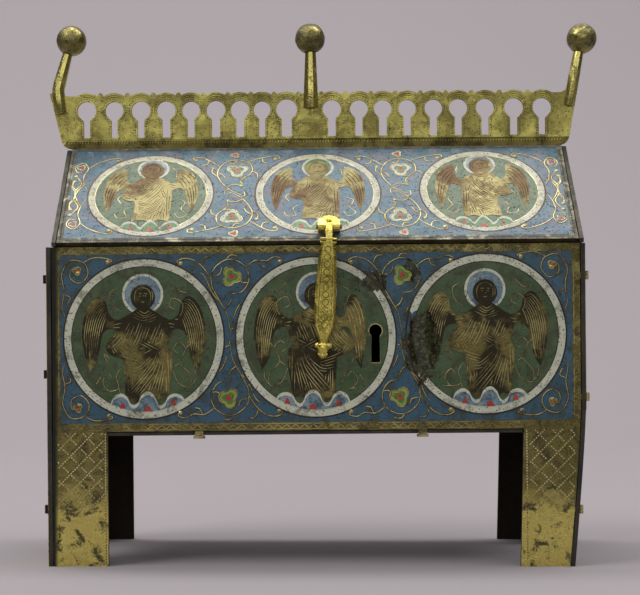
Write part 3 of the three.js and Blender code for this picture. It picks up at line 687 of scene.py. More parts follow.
def circle(centre, radius, count=64, squash=1.0):
    turns = (2 * math.pi * i / count for i in range(count))
    return [(centre[0] + radius * math.cos(t), centre[1] + radius * squash * math.sin(t))
            for t in turns]


def arc(centre, radius, start, end, count=24):
    """Points along an arc, between two angles in degrees."""
    turns = (math.radians(start + (end - start) * i / count) for i in range(count + 1))
    return [(centre[0] + radius * math.cos(t), centre[1] + radius * math.sin(t)) for t in turns]


def moved(points, by=(0, 0), turn=0.0, flip=False, grow=1.0):
    """The points mirrored, grown, turned by some degrees and then moved."""
    cos, sin = math.cos(math.radians(turn)) * grow, math.sin(math.radians(turn)) * grow
    sign = -1 if flip else 1
    return [(by[0] + sign * x * cos - y * sin, by[1] + sign * x * sin + y * cos) for x, y in points]


def stroke(line, width, blunt=0.25):
    """The closed outline of one cut of the graver: widest in the middle, narrow at both ends."""
    sides = ([], [])
    last = len(line) - 1
    for i, point in enumerate(line):
        along = Vector(line[min(i + 1, last)]) - Vector(line[max(i - 1, 0)])
        across = Vector((-along.y, along.x)).normalized()
        half = width / 2 * max(blunt, abs(math.sin(math.pi * i / last)) ** 0.5)
        for side, sign in zip(sides, (1, -1)):
            side.append(tuple(Vector(point) + across * half * sign))
    return sides[0] + sides[1][::-1]


def even(line, spacing):
    """The same line with its points evenly spaced."""
    line = [Vector(p) for p in line]
    points, left = [line[0]], spacing
    for start, end in zip(line, line[1:]):
        span = (end - start).length
        while span > 1e-9 and left <= span:
            start = start + (end - start) * (left / span)
            span = (end - start).length
            points.append(start)
            left = spacing
        left -= span
    if (points[-1] - line[-1]).length > spacing * 0.3:
        points.append(line[-1])
    return [tuple(p) for p in points]


def inside(point, outline):
    """True if the point is inside: a ray to its right crosses the outline an odd number of times."""
    x, y = point
    crossings = 0
    for (x0, y0), (x1, y1) in zip(outline, outline[1:] + outline[:1]):
        if (y0 > y) != (y1 > y) and x < x0 + (y - y0) * (x1 - x0) / (y1 - y0):
            crossings += 1
    return crossings % 2 == 1


def engrave(outline, lines, width=0.34, keep=0.42, shortest=0.9, holes=()):
    """Slits for a skin of this outline.

    Each line is cut back to its longest run that stays inside the outline and clear of the lines
    before it, because slits that touched would confuse the filling of the curve.
    """
    taken = set()

    def cell(point):
        return round(point[0] / keep), round(point[1] / keep)

    for border in [outline, *holes]:
        taken.update(cell(p) for p in even(border + border[:1], keep * 0.7))
    slits = []
    for line in lines:
        line = even(line, keep * 0.8)
        runs, run = [], []
        for point in line:
            i, j = cell(point)
            near = any((i + a, j + b) in taken for a in (-1, 0, 1) for b in (-1, 0, 1))
            if near or not inside(point, outline) or any(inside(point, hole) for hole in holes):
                runs.append(run)
                run = []
            else:
                run.append(point)
        best = max(runs + [run], key=len)
        if len(best) > 2 and (len(best) - 1) * keep * 0.8 >= shortest:
            taken.update(cell(p) for p in best)
            slits.append(stroke(best, width))
    return slits


print("a stroke of the graver has", len(stroke(even([(0, 0), (4, 0)], 0.4), 0.3)), "points")

# %% [markdown]
# A piece drawn flat is laid on its board by that board's matrix, and the mesh keeps the place: the
# object itself stays at the origin, so that its material's Object coordinates are the casket's own.

# %% Flat plates, raised lines and finished pieces


def mesh_of(data, place):
    """Turns a curve into a mesh lying in its place, and leaves no curve behind."""
    holder = bpy.data.objects.new("drawing", data)
    scene.collection.objects.link(holder)
    bpy.context.view_layer.update()
    graph = bpy.context.evaluated_depsgraph_get()
    mesh = bpy.data.meshes.new_from_object(holder.evaluated_get(graph))
    bpy.data.objects.remove(holder)
    bpy.data.curves.remove(data)
    mesh.transform(place)
    return mesh


def draw_into(data, lines, closed):
    for line in lines:
        spline = data.splines.new("POLY")
        spline.points.add(len(line) - 1)
        spline.points.foreach_set("co", [part for u, v in line for part in (u, v, 0.0, 1.0)])
        spline.use_cyclic_u = closed


def plate(loops, low, high, place):
    """A flat plate between two heights above the board: the even-odd filling of the loops."""
    data = bpy.data.curves.new("plate", "CURVE")
    data.dimensions = "2D"
    data.fill_mode = "BOTH"
    data.extrude = (high - low) / 2
    draw_into(data, loops, closed=True)
    return mesh_of(data, place @ Matrix.Translation((0, 0, (low + high) / 2)))


def ribs(lines, width, low, high, place, closed=False):
    """Low rounded ribs of metal along the lines, thinner towards their open ends."""
    data = bpy.data.curves.new("ribs", "CURVE")
    data.dimensions = "3D"
    data.bevel_depth = width / 2
    data.bevel_resolution = 1
    data.use_fill_caps = not closed
    draw_into(data, lines, closed)
    for spline in data.splines if not closed else ():
        last = len(spline.points) - 1
        spline.points.foreach_set("radius", [0.45 + 0.55 * min(1.0, 5 * i / last, 5 * (last - i) / last)
                                             for i in range(last + 1)])
    flatten = Matrix.Diagonal((1, 1, (high - low) / width, 1))
    return mesh_of(data, place @ Matrix.Translation((0, 0, (low + high) / 2)) @ flatten)


def piece(name, meshes, material, body, slot="enamelled_copper", smooth_faces=False):
    """Joins meshes into one piece: doubles merged, faces turned outwards, riding on its body."""
    work = bmesh.new()
    for mesh in meshes:
        work.from_mesh(mesh)
        bpy.data.meshes.remove(mesh)
    bmesh.ops.remove_doubles(work, verts=work.verts, dist=1e-8)
    bmesh.ops.recalc_face_normals(work, faces=work.faces)
    for face in work.faces:
        face.smooth = smooth_faces
    mesh = bpy.data.meshes.new(name)
    work.to_mesh(mesh)
    work.free()
    mesh.materials.append(material)
    made = bpy.data.objects.new(name, mesh)
    scene.collection.objects.link(made)
    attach(made, body)
    return made


def triangles(made):
    return sum(len(face.vertices) - 2 for face in made.data.polygons)


# %% [markdown]
# A decorated board has a few layers, one for each finish.  The drawing steps lay their meshes into
# these layers, and each layer ends as one piece.

# %% Layers
layers = {}


def lay(layer, mesh):
    layers.setdefault(layer, []).append(mesh)


def build_layers(board_name, finishes, body):
    made = []
    for layer, meshes in layers.items():
        lines = layer.endswith("lines")
        made.append(piece(f"{board_name}_{layer}", meshes, finishes[layer], body, smooth_faces=lines))
    layers.clear()
    print(board_name + ":", {one.name: triangles(one) for one in made})


def vines(lines, width, place):
    """Metal lines, each in a dark seam beside it: painted shade along the line, and dirt settled there.
    """
    lay("grime", ribs(lines, width + 0.34, 0.02, 0.13, place))
    lay("lines", ribs(lines, width, 0.0, 0.2, place))


def clear_of(lines, rings):
    """The parts of the lines that lie outside every ring, given as (middle, radius)."""
    kept = []
    for line in lines:
        run = []
        for point in [*line, None]:
            if point and all((Vector(point) - Vector(middle)).length > radius
                             for middle, radius in rings):
                run.append(point)
            else:
                if len(run) > 3:
                    kept.append(run)
                run = []
    return kept

# %% [markdown]
# ## Figures
#
# The angels are reserved in the copper: their outline is left standing when the ground is cut away
# for enamel, then engraved and gilded.  One pattern serves all of them, as a pattern sheet would in
# the workshop.  The standing angel is for the walls, the shorter one rising from clouds for the roof.
# The faces are plain and calm, drawn with a few strokes.

# %% Pattern of an angel


def beside(line, distance):
    """A line running beside another at a distance, to its left."""
    last = len(line) - 1
    points = []
    for i, point in enumerate(line):
        along = Vector(line[min(i + 1, last)]) - Vector(line[max(i - 1, 0)])
        points.append(tuple(Vector(point) + Vector((-along.y, along.x)).normalized() * distance))
    return points


def between(first, second, part):
    """A smooth line that runs between two guide lines given by the same number of points."""
    return smooth([tuple(Vector(a).lerp(Vector(b), part)) for a, b in zip(first, second)])


def feathers(outer, inner, count=10):
    """Long feathers between the wing's edges, and rows of short ones at its shoulder."""
    return [between(outer, inner, (i + 1) / (count + 1)) for i in range(count)]


STANDING = {
    "halo": ((-0.3, 15.0), 6.9),
    "head": (-0.3, 14.0),
    "body": [(-1.4, 10.6), (-3.6, 9.2), (-6.4, 7.2), (-8.2, 3.8), (-10.9, 0.8), (-12.8, -2.4),
             (-11.6, -5.0), (-8.4, -6.3), (-7.0, -7.2), (-6.9, -10.5), (-6.5, -15), (-6.4, -19.2),
             (-6.4, -19.2), (-3.0, -21.4), (0, -19.6), (2.7, -21.6), (5.4, -19.8), (7.9, -20.6),
             (7.9, -20.6), (8.6, -15), (9.6, -9), (9.4, -4.6), (8.0, -2), (9.2, 1), (8.8, 4.2),
             (6.9, 7), (3.8, 9.2), (1.4, 10.6)],
    "folds": [[(-4.7, 5.6), (-7.7, 0.2), (-11.6, -3.4)], [(-11.8, -4.2), (-6.3, -7.0), (-1.4, -8.5)],
              [(-0.6, 5.4), (-2.8, -0.4), (-5.6, -4.7)], [(1.2, 4.7), (-0.9, -0.9)],
              [(5.6, 5.2), (2.6, -1.8)], [(-1.4, -0.4), (4.6, -3.6)], [(6.4, -0.6), (-0.9, -4.3)],
              [(4.3, -4.7), (2.2, -9.3), (-4.9, -17.6)], [(5.0, -6.3), (3.0, -11.4), (-2.6, -18.6)],
              [(5.7, -7.7), (2.2, -17.6)], [(6.6, -7.4), (4.4, -18.2)], [(7.9, -3.2), (8.3, -18)],
              [(-5.9, -10.2), (-1.8, -10.4), (3.0, -6.4)], [(-5.6, -8.8), (-5.4, -17.6)],
              [(-2.4, 9.2), (0.2, 7.7), (2.8, 9.0)], [(-3.8, 7.7), (-0.2, 6.2), (4.6, 7.6)],
              [(-6.2, 5.2), (-8.6, 1.1), (-11, -1.6)], [(-3.2, 4.6), (-5.9, -1.4), (-9.0, -3.6)],
              [(6.9, 4.9), (5.0, 0.3), (5.9, -2.3)], [(-4.2, -12.4), (-3.9, -15.6)],
              [(-8.2, -2.4), (-6.2, -4.6), (-3.4, -5.7)], [(-10.6, -2.0), (-9.2, -4.4)]],
    "wing": [(-5.6, 7.4), (-9, 6.4), (-11.6, 8.4), (-12.8, 12.6), (-15.6, 14.2), (-18.9, 10.6),
             (-20.7, 3.6), (-20.2, -3.6), (-18.2, -11), (-18.2, -11), (-15.9, -7.2), (-14.7, -2.2),
             (-13.6, 2.2), (-10.5, 3.4), (-7, 1)],
    "outer": [(-12.7, 12.4), (-15.8, 14.6), (-19.4, 10.6), (-21.1, 3.6), (-20.7, -3.6),
              (-18.4, -10.6)],
    "inner": [(-11.8, 9.0), (-12.3, 6.8), (-13.4, 3.0), (-14.3, -2), (-15.5, -7), (-17.9, -10.4)],
    "quills": [[(-7.4, 5.4), (-10.4, 4.8)], [(-8.2, 6.3), (-11.6, 6.6)], [(-7.2, 4.0), (-10.2, 3.9)]],
    "tendrils": [[(9.6, -10.5), (11.6, -15.0), (15.4, -16.2), (15.6, -12.2), (12.2, -8.0),
                  (13.9, -3.4), (11.8, -1.2), (9.9, -3.4), (11.6, -4.9)],
                 [(-7.6, -9.6), (-9.4, -12.4), (-8.6, -16.4), (-12.0, -17.3), (-13.9, -14.2),
                  (-11.9, -11.6), (-10.6, -13.4)],
                 [(9.4, 6.4), (12.4, 8.0), (13.0, 11.8), (9.8, 13.6), (8.6, 11.0), (10.4, 9.9)],
                 [(-7.8, 9.4), (-10.4, 11.6), (-11.2, 15.4), (-8.6, 17.2)],
                 [(9.8, 18.4), (12.2, 16.0), (14.6, 15.4)], [(-14.6, -12.6), (-16.2, -15.2)],
                 [(-12.0, -8.6), (-13.4, -5.0), (-11.6, -6.6)], [(13.9, -3.4), (16.2, -1.0)],
                 [(15.4, -16.2), (17.4, -13.4), (17.0, -10.6)], [(-8.6, -16.4), (-7.8, -18.8)],
                 [(-12.0, -17.3), (-14.8, -17.4)], [(12.2, -8.0), (10.2, -9.4)]],
    "wave": [(-11.3, -21.6), (-10.3, -19.4), (-7.9, -18.2), (-5.9, -19.3), (-4.8, -21.4),
             (-3.5, -22.1), (-2.1, -21.2), (-1.0, -18.9), (1.2, -17.6), (3.3, -19.0), (4.4, -21.4),
             (5.6, -22.3), (7.0, -21.2), (8.0, -19.3), (10.0, -18.4), (12.2, -18.9), (13.5, -20.3)],
    "puffs": [(-7.3, 1.0), (1.2, 1.4), (9.8, 1.0)],
    "reach": 24.5,
}
RISING = {
    "halo": ((0.0, 14.0), 5.6),
    "head": (-0.2, 13.2),
    "body": [(-1.5, 9.6), (-4.4, 8.5), (-7.2, 5.2), (-9.6, 0.8), (-9.8, -1.8), (-7.6, -3.2),
             (-5.4, -3.6), (-5.1, -8), (-5.8, -14.2), (-5.8, -14.2), (-2, -13.4), (1.0, -14.6),
             (4.0, -13.4), (7.2, -14.6), (7.2, -14.6), (7.3, -8), (7.4, -2), (6.8, 3), (4.8, 7.4),
             (3.0, 8.8), (1.2, 9.6)],
    "folds": [[(-2.2, 8.4), (-0.2, 7.2), (2.2, 8.3)], [(-4.6, 7.2), (-6.6, 3.2), (-8.6, -0.6)],
              [(-8.9, -1.8), (-6.4, -2.3), (-3.4, -1.2)], [(3.4, 7.4), (0.6, 2.0), (-3.6, -2.9)],
              [(4.6, 6.0), (2.4, 0.8), (-1.6, -4.4)], [(1.4, 6.6), (-1.4, 2.2), (-4.6, -0.2)],
              [(-3.6, 6.4), (-4.0, 3.4), (-5.8, 0.8)], [(5.6, 3.2), (5.8, -4.0), (6.2, -12.4)],
              [(3.8, -1.2), (1.2, -6.2), (-4.2, -9.4)], [(4.6, -3.2), (2.8, -8.2), (-3.4, -12.0)],
              [(4.8, -6.4), (3.4, -12.2)], [(-4.2, -4.6), (0.2, -5.3)], [(1.4, -9.8), (0.4, -13.2)],
              [(-1.6, -6.6), (-3.8, -7.2)], [(-2.2, 4.8), (-0.4, 5.2)], [(5.0, -9.6), (5.2, -13)],
              [(-4.4, -11.0), (-4.5, -13.0)], [(2.4, 4.8), (3.6, 1.4), (4.6, -1.2)]],
    "wing": [(-4.8, 7.6), (-7.0, 6.0), (-8.8, 8.2), (-9.2, 13.6), (-11.6, 13.4), (-15.0, 9.7),
             (-16.3, 2.0), (-15.8, -4.6), (-14.4, -9.6), (-14.4, -9.6), (-13.2, -5.1), (-12.0, 0.6),
             (-10.4, 3.4), (-8.2, 3.0), (-6.0, 1.6)],
    "outer": [(-9.0, 13.4), (-12.2, 14.0), (-15.4, 10.0), (-16.8, 2.4), (-16.2, -4.4), (-14.6, -9.2)],
    "inner": [(-8.6, 9.2), (-9.4, 6.4), (-10.8, 3.2), (-12.2, -0.6), (-13.2, -4.8), (-14.2, -8.8)],
    "quills": [[(-6.0, 5.6), (-8.6, 4.6)], [(-6.4, 4.2), (-8.4, 3.8)], [(-7.4, 7.0), (-9.0, 6.6)]],
    "tendrils": [[(8.6, -9.6), (10.4, -12.4), (12.9, -10.6), (10.9, -7.6), (12.2, -4.2), (9.9, -2.6)],
                 [(-6.6, -6.0), (-8.6, -8.4), (-7.6, -11.8), (-10.6, -12.2), (-11.8, -9.8)],
                 [(-9.8, -4.6), (-11.2, -2.0), (-9.8, -0.2)], [(8.4, 9.2), (8.2, 12.4), (6.8, 14.6)],
                 [(13.4, 11.2), (15.0, 9.2)]],
    "wave": [(-9.2, -17.2), (-8.2, -15.0), (-6.0, -14.1), (-4.2, -15.0), (-3.3, -16.6),
             (-2.2, -17.2), (-1.2, -15.6), (0.8, -13.3), (2.8, -15.2), (3.6, -16.6), (4.5, -17.0),
             (5.4, -15.4), (7.6, -13.9), (9.6, -14.6), (10.6, -16.3)],
    "puffs": [(-5.6, 0.8), (0.8, 1.4), (7.4, 0.8)],
    "reach": 19.5,
}
FACE = [  # from the middle of the head: brows, eyes, nose, mouth
    [(-1.55, 1.05), (-0.9, 1.35), (-0.35, 1.1)], [(0.35, 1.1), (0.9, 1.35), (1.55, 1.05)],
    [(-1.35, 0.45), (-0.55, 0.42)], [(0.55, 0.42), (1.35, 0.45)],
    [(0.15, 0.75), (0.28, -0.55)], [(-0.62, -1.5), (0.0, -1.62), (0.62, -1.5)],
]
HAIR = [
    [(-2.5, -1.8), (-2.75, 0.6), (-1.9, 2.5), (0, 3.2), (1.9, 2.5), (2.75, 0.6), (2.5, -1.8)],
    [(-3.2, -1.2), (-3.4, 1.0), (-2.4, 3.2), (0, 4.05), (2.4, 3.2), (3.4, 1.0), (3.2, -1.2)],
]


def hatched(folds):
    """Each fold of the robe, with finer strokes close beside it."""
    lines = [smooth(fold, steps=8) for fold in folds]
    fine = []
    for gap in (0.85, -0.85):
        for line in lines:
            cut = int(len(line) * random.uniform(0.0, 0.35))
            fine.append(beside(line, gap * random.uniform(0.9, 1.15))[cut:len(line) - cut // 2])
    return lines + [line for line in fine if len(line) > 3]


def under_arc(top, reach):
    """The outline between a line and the arc of a ring of that radius below it."""
    start, end = (math.degrees(math.atan2(y, x)) for x, y in (top[-1], top[0]))
    return top + arc((0, 0), reach, start, end, 16)


def clouds(pattern, put, place, finishes):
    """A wave of cloud along the foot of the ring, white outside, then coloured within."""
    white, middle, heart = finishes
    reach = pattern["reach"]
    wave = smooth(pattern["wave"])
    lower = [(x, y - 1.15) for x, y in wave if math.hypot(x, y - 1.15) < reach - 0.15]
    lay(white, plate([put(under_arc(wave, reach))], 0.0, 0.225, place))
    lay(middle, plate([put(under_arc(lower, reach - 0.1))], 0.0, 0.235, place))
    for x, half in pattern["puffs"]:
        foot = 0.15 - math.sqrt(reach ** 2 - x ** 2)
        spot = smooth([(x - half, foot), (x - half * 0.6, foot + 1.3), (x, foot + 2.0),
                       (x + half * 0.6, foot + 1.3), (x + half, foot)])
        lay(heart, plate([put(spot)], 0.0, 0.245, place))


def figure(pattern, at, place, cloud_finishes, flip=False, halo="halo", narrow=1.0):
    """Lays one angel into the layers: halo, wings, robe, head and clouds, each a little higher."""

    def put(points):
        return moved(points, at, flip=flip)

    centre, radius = pattern["halo"]
    lay("white", plate([put(circle(centre, radius)), put(circle(centre, radius - 0.85))], 0.0, 0.125,
                       place))
    lay(halo, plate([put(circle(centre, radius - 0.85))], 0.0, 0.12, place))
    clouds(pattern, put, place, cloud_finishes)
    wing = smooth(pattern["wing"], closed=True)
    guides = feathers(pattern["outer"], pattern["inner"]) + [smooth(q) for q in pattern["quills"]]
    near = [[((x + 6) * narrow - 6 if x < -6 else x, y) for x, y in line] for line in [wing, *guides]]
    face = [moved(smooth(line), pattern["head"]) for line in HAIR + FACE]
    parts = [
        (near[0], near[1:], 0.25, 0.28, 0.9, 0.18),
        (moved(wing, flip=True), [moved(line, flip=True) for line in guides], 0.25, 0.28, 0.9, 0.18),
        (smooth(pattern["body"], closed=True), hatched(pattern["folds"]), 0.22, 0.26, 0.8, 0.21),
        (circle(pattern["head"], 4.1, 40, squash=1.05), face, 0.24, 0.2, 0.3, 0.24),
    ]
    for outline, lines, width, keep, shortest, top in parts:
        outline = put(outline)
        cuts = engrave(outline, [put(line) for line in lines], width, keep, shortest)
        # The ground under the figure shows in its engraved lines: bright gold on the walls as painted
        # highlight, dark gold on the roof as painted shade.
        lay("figure_groove_painted_light", plate([outline], 0.0, top - 0.06, place))
        lay("figures", plate([outline, *cuts], top - 0.06, top, place))


print("folds in the standing angel's robe:", len(STANDING["folds"]))

# %% [markdown]
# ## The walls
#
# Champlevé enamel: the ground is cut down with gravers, filled with powdered glass, fired, and ground
# level again.  What stays standing is gilded: the borders, the rings, the scrolls and the figures.
# Here the glass lies as thin plates on the copper, and each kind of metal line a hair higher, which
# gives the soft relief that grinding and wear leave.  Vines are round wires pressed nearly flat.

# %% Scrolls for the walls
WALL_SCROLLS = [  # right of the middle of a gap, upper half; half-width 1.7 at the waist
    [(0.2, 1.4), (-0.9, 7.5), (-3.4, 12.2), (-6.0, 17.6), (-5.4, 22.8), (-0.4, 26.2), (4.9, 24.2),
     (6.5, 19.4), (4.2, 15.4), (0.8, 14.6)],
    [(5.4, 23.6), (8.8, 25.8), (12.4, 25.6), (15.0, 26.9), (17.6, 26.2), (16.8, 24.9)],
    [(-5.9, 18.9), (-8.4, 23.0), (-11.8, 25.9), (-15.4, 26.6), (-17.6, 25.4), (-16.2, 24.6)],
    [(-3.4, 12.2), (-5.6, 14.6), (-8.2, 20.2), (-9.7, 21.8)],
    [(1.2, 6.4), (2.5, 9.8), (4.9, 12.8), (7.2, 14.4)], [(0.3, 2.6), (1.9, 3.4), (2.1, 1.8)],
    [(-2.2, 9.6), (-0.4, 10.9), (0.6, 12.9)], [(-5.6, 20.6), (-3.4, 21.2), (-2.6, 23.4)],
    [(6.3, 18.4), (4.2, 18.4), (3.4, 20.0)], [(9.4, 25.9), (10.4, 23.9), (12.0, 23.6)],
    [(-9.2, 24.6), (-8.0, 26.9), (-5.8, 27.2)], [(-1.0, 26.2), (0.4, 27.6), (2.6, 27.3)],
]
WALL_CORNER = [  # from a ring's middle, for the upper right corner
    [(27.3, 3.2), (26.4, 7.0), (27.4, 11.0), (26.6, 16.2), (27.4, 21.8), (24.6, 26.4), (20.0, 25.6),
     (18.6, 21.9), (21.2, 18.9), (24.4, 20.3), (24.2, 23.4), (21.7, 23.2)],
    [(20.2, 25.7), (17.2, 27.2), (13.8, 27.3), (10.6, 26.4), (12.2, 25.4)],
    [(26.5, 15.0), (24.6, 14.0), (25.6, 11.8)],
]


def trefoil(centre, size, turn=0.0):
    """A three-lobed leaf."""
    lobes = []
    for i in range(48):
        t = 2 * math.pi * i / 48
        reach = size * (0.62 + 0.38 * abs(math.cos(1.5 * t)) ** 1.2)
        lobes.append((reach * math.sin(t), reach * math.cos(t)))
    return moved(lobes, centre, turn)


def blossom(centre, size, turn, place, colours, base=0.08):
    """A leaf of glass within glass, with a fine metal line round it."""
    lay("lines", ribs([trefoil(centre, size, turn)], 0.36, 0.0, 0.19, place, closed=True))
    for i, colour in enumerate(colours):
        inner = size * (0.92 - 0.3 * i)
        lay(colour, plate([trefoil(centre, inner, turn)], 0.0, base + 0.012 * (i + 1), place))


def berry(centre, place, colour="lines", radius=0.75):
    lay(colour, plate([circle(centre, radius, 12)], 0.0, 0.16, place))


def ring(centre, outer, inner, place, ground, white=None, holes=()):
    """A roundel: its ground, its white band, and the seams that part it from the field."""
    lay(ground, plate([circle(centre, inner + 0.3, 96), *holes], 0.0, 0.10, place))
    band = white or [circle(centre, outer, 96), circle(centre, inner, 96)]
    lay("white", plate(band, 0.0, 0.13, place))
    # The dark ribs round the white band are painted shade and dirt along its metal edges; on the roof
    # the inner one is gilt.
    lay("grime", ribs([circle(centre, outer + 0.2, 96)], 0.7, 0.0, 0.15, place, closed=True))
    lay("seam", ribs([circle(centre, inner - 0.1, 96)], 0.4, 0.0, 0.16, place, closed=True))


WALL_FINISHES = {"blue": WALL_BLUE, "green": WALL_GREEN, "white": WALL_WHITE, "halo": HALO_BLUE,
                 "red": RED, "yellow": YELLOW, "leaf_green": LEAF_GREEN, "cloud_blue": HALO_BLUE,
                 "lines": LINE_GILT, "grime": SHADE_AND_GRIME, "seam": SHADE_AND_GRIME, "figures": WALL_FIGURE_GILT,
                 "figure_groove_painted_light": WALL_GROOVE_HIGHLIGHT_GILT}

# %% [markdown]
# **The front wall.** Three roundels hold standing angels.  The gilding round the enamel is one skin
# with the feet, engraved with a running wave, and with a dotted lattice on the feet.  Near the right
# roundel a stroke or an old repair has broken the enamel away; that hole is a ragged loop cut out of
# the blue field, and the ring stops short on both sides of it.

# %% Front wall: enamels
FIELD = (-85.9, 85.9, 48.6, 105.2)  # left, right, bottom, top of the enamelled field
FRONT_ROUNDELS = [(-57.8, 76.8), (-0.1, 77.0), (57.0, 77.6)]
RING_OUTER, RING_INNER = 26.7, 24.4
KEYHOLE_RIM = [(x, z) for x, z in arc((19.9, 78.9), 2.5, -60, 240, 20)] + [(18.2, 68.0), (21.6, 68.0)]


def rectangle(left, right, bottom, top):
    return [(left, bottom), (right, bottom), (right, top), (left, top)]


def ragged(centre, reach, count=40, rough=0.3):
    """An irregular closed outline: a place where the glass has broken out."""
    points = []
    for i in range(count):
        t = 2 * math.pi * i / count
        out = 1 - rough * random.random()
        points.append((centre[0] + reach[0] * out * math.cos(t),
                       centre[1] + reach[1] * out * math.sin(t)))
    return points


def broken_band(centre, outer, inner, start, end):
    """A white band that stops short, with crumbled ends."""
    count = 90
    outside = arc(centre, outer, start, end, count)
    inside_edge = arc(centre, inner, end - 2.5, start + 3.0, count)
    middle = (outer + inner) / 2
    return [outside + arc(centre, middle, end + 1.5, end, 2) + inside_edge
            + arc(centre, middle, start + 4.5, start + 1, 2)]


LOST = ragged((34.6, 75.0), (4.6, 9.5))
lay("blue", plate([rectangle(*FIELD), LOST, KEYHOLE_RIM], 0.0, 0.07, FRONT))
for number, centre in enumerate(FRONT_ROUNDELS):
    holes = [KEYHOLE_RIM] if number == 1 else []
    band = broken_band(centre, RING_OUTER, RING_INNER, -157, 163) if number == 2 else None
    ring(centre, RING_OUTER, RING_INNER, FRONT, "green", band, holes=holes)
    figure(STANDING, centre, FRONT, ("white", "cloud_blue", "red"), flip=number == 1,
           narrow=0.74 if number == 1 else 1.0)
    vines([moved(smooth(line), centre, flip=number == 1) for line in STANDING["tendrils"]], 0.28,
          FRONT)


# %% Front wall: scrolls
def wall_gap(middle, height, place, colours):
    """The scrollwork between two roundels, its lower half a mirror image of the upper."""
    for sign in (1, -1):
        lines = [[(middle + x * sign, height + y * sign) for x, y in smooth(line)]
                 for line in WALL_SCROLLS]
        vines(clear_of(lines, [(centre, RING_OUTER + 0.7) for centre in FRONT_ROUNDELS]), 0.44, place)
        blossom((middle + 0.6 * sign, height + 20.4 * sign), 3.5, 25 if sign > 0 else 200, place,
                colours)
        for x, y in ((16.9, 25.2), (-16.4, 24.9)):
            berry((middle + x * sign, height + y * sign), place)


def wall_corner(centre, right, up, place):
    lines = [[(centre[0] + x * right, centre[1] + y * up) for x, y in smooth(line)]
             for line in WALL_CORNER]
    vines(clear_of(lines, [(centre, RING_OUTER + 0.7)]), 0.44, place)
    for x, y in ((22.0, 22.2), (11.9, 25.8)):
        berry((centre[0] + x * right, centre[1] + y * up), place)
    blossom((centre[0] + 22.3 * right, centre[1] + 23.0 * up), 1.5, 45 * right, place,
            ["leaf_green", "red"])


for middle in (-28.9, 28.5):
    wall_gap(middle, 77.1, FRONT, ["yellow", "leaf_green", "red"])
for side, centre in ((-1, FRONT_ROUNDELS[0]), (1, FRONT_ROUNDELS[2])):
    for up in (1, -1):
        wall_corner(centre, side, up, FRONT)
build_layers("front", WALL_FINISHES, "casket")

# %% [markdown]
# **Gilt skins.**  Where the metal shows on a wall, it is engraved.  Each skin follows the outline of
# the construction plate itself, which is read from that solid's outer face, so borders, feet and
# keyhole all agree.  The rows of dents were struck with a punch, one blow at a time.

# %% Outlines of the construction faces


def face_outlines(node, place):
    """The closed outlines, on the board, of the face of a construction solid that lies on it."""
    work = bmesh.new()
    work.from_mesh(frame["nodes"][node].data)
    bmesh.ops.remove_doubles(work, verts=work.verts, dist=1e-6)
    bmesh.ops.transform(work, matrix=place.inverted(), verts=work.verts)
    away = [vert for vert in work.verts if abs(vert.co.z) > 0.02]
    bmesh.ops.delete(work, geom=away, context="VERTS")
    rims = [edge for edge in work.edges if edge.is_boundary]
    outlines = []
    while rims:
        edge = rims.pop(0)
        start, here = edge.verts
        outline = [start.co.xy.to_tuple()]
        while here is not start:
            outline.append(here.co.xy.to_tuple())
            edge = next(e for e in here.link_edges if e in rims)
            rims.remove(edge)
            here = edge.other_vert(here)
        outlines.append(outline)
    work.free()
    return sorted(outlines, key=len_of, reverse=True)


def len_of(outline):
    return sum((Vector(b) - Vector(a)).length for a, b in zip(outline, outline[1:] + outline[:1]))


def punch(outline, lines, pitch=0.75, long=0.5, wide=0.3, holes=()):
    """Rows of small dents along the lines, left out where two would run together."""
    edges, struck, dents = {}, {}, []

    def cell(point):
        return round(point[0]), round(point[1])

    def room(points, spot, reach):
        i, j = cell(spot)
        near = [p for a in (-1, 0, 1) for b in (-1, 0, 1) for p in points.get((i + a, j + b), ())]
        return all(math.dist(spot, p) > reach for p in near)

    for border in (outline, *holes):
        for point in even(border + border[:1], 0.25):
            edges.setdefault(cell(point), []).append(point)
    for line in lines:
        line = even(line, pitch)
        for here, there in zip(line, line[1:]):
            middle = ((here[0] + there[0]) / 2, (here[1] + there[1]) / 2)
            if not room(edges, middle, long / 2 + 0.14) or not room(struck, middle, long + 0.08):
                continue
            if inside(middle, outline) and not any(inside(middle, hole) for hole in holes):
                struck.setdefault(cell(middle), []).append(middle)
                turn = math.degrees(math.atan2(there[1] - here[1], there[0] - here[0]))
                dents.append(moved(circle((0, 0), long / 2, 6, squash=wide / long), middle, turn))
    return dents


# %% Engraving for borders and feet
def running_wave(start, end, height, step=3.0, rise=0.5):
    """A wavy line between two rails."""
    count = int((end - start) / step * 8)
    return [[(start + step * i / 8, height + rise * math.sin(math.pi * i / 4)) for i in range(count)]]


def lattice(left, right, bottom, top, mesh_size=6.0):
    """Two crossing sets of slanting lines: a diamond net."""
    lines = []
    tall = top - bottom
    start = left - tall
    while start < right + tall:
        for lean_to in (1, -1):
            foot, head = start, start + lean_to * tall
            lines.append([(foot, bottom), (head, top)])
        start += mesh_size
    return lines


def clipped(lines, left, right):
    """The parts of straight lines between two uprights."""
    kept = []
    for (x0, y0), (x1, y1) in lines:
        low, high = sorted(((left - x0) / (x1 - x0), (right - x0) / (x1 - x0)))
        low, high = max(0.0, low), min(1.0, high)
        if high - low > 0.02:
            kept.append([(x0 + (x1 - x0) * t, y0 + (y1 - y0) * t) for t in (low, high)])
    return kept


def painted_dent_highlights(dents, high, place):
    """Painted highlight: a bright oval beside each dent, shifted up and right, for the lip that a punch
    throws up.
    """
    return plate([moved(dent, (0.05, 0.1)) for dent in dents], high - 0.01, high + 0.03, place)


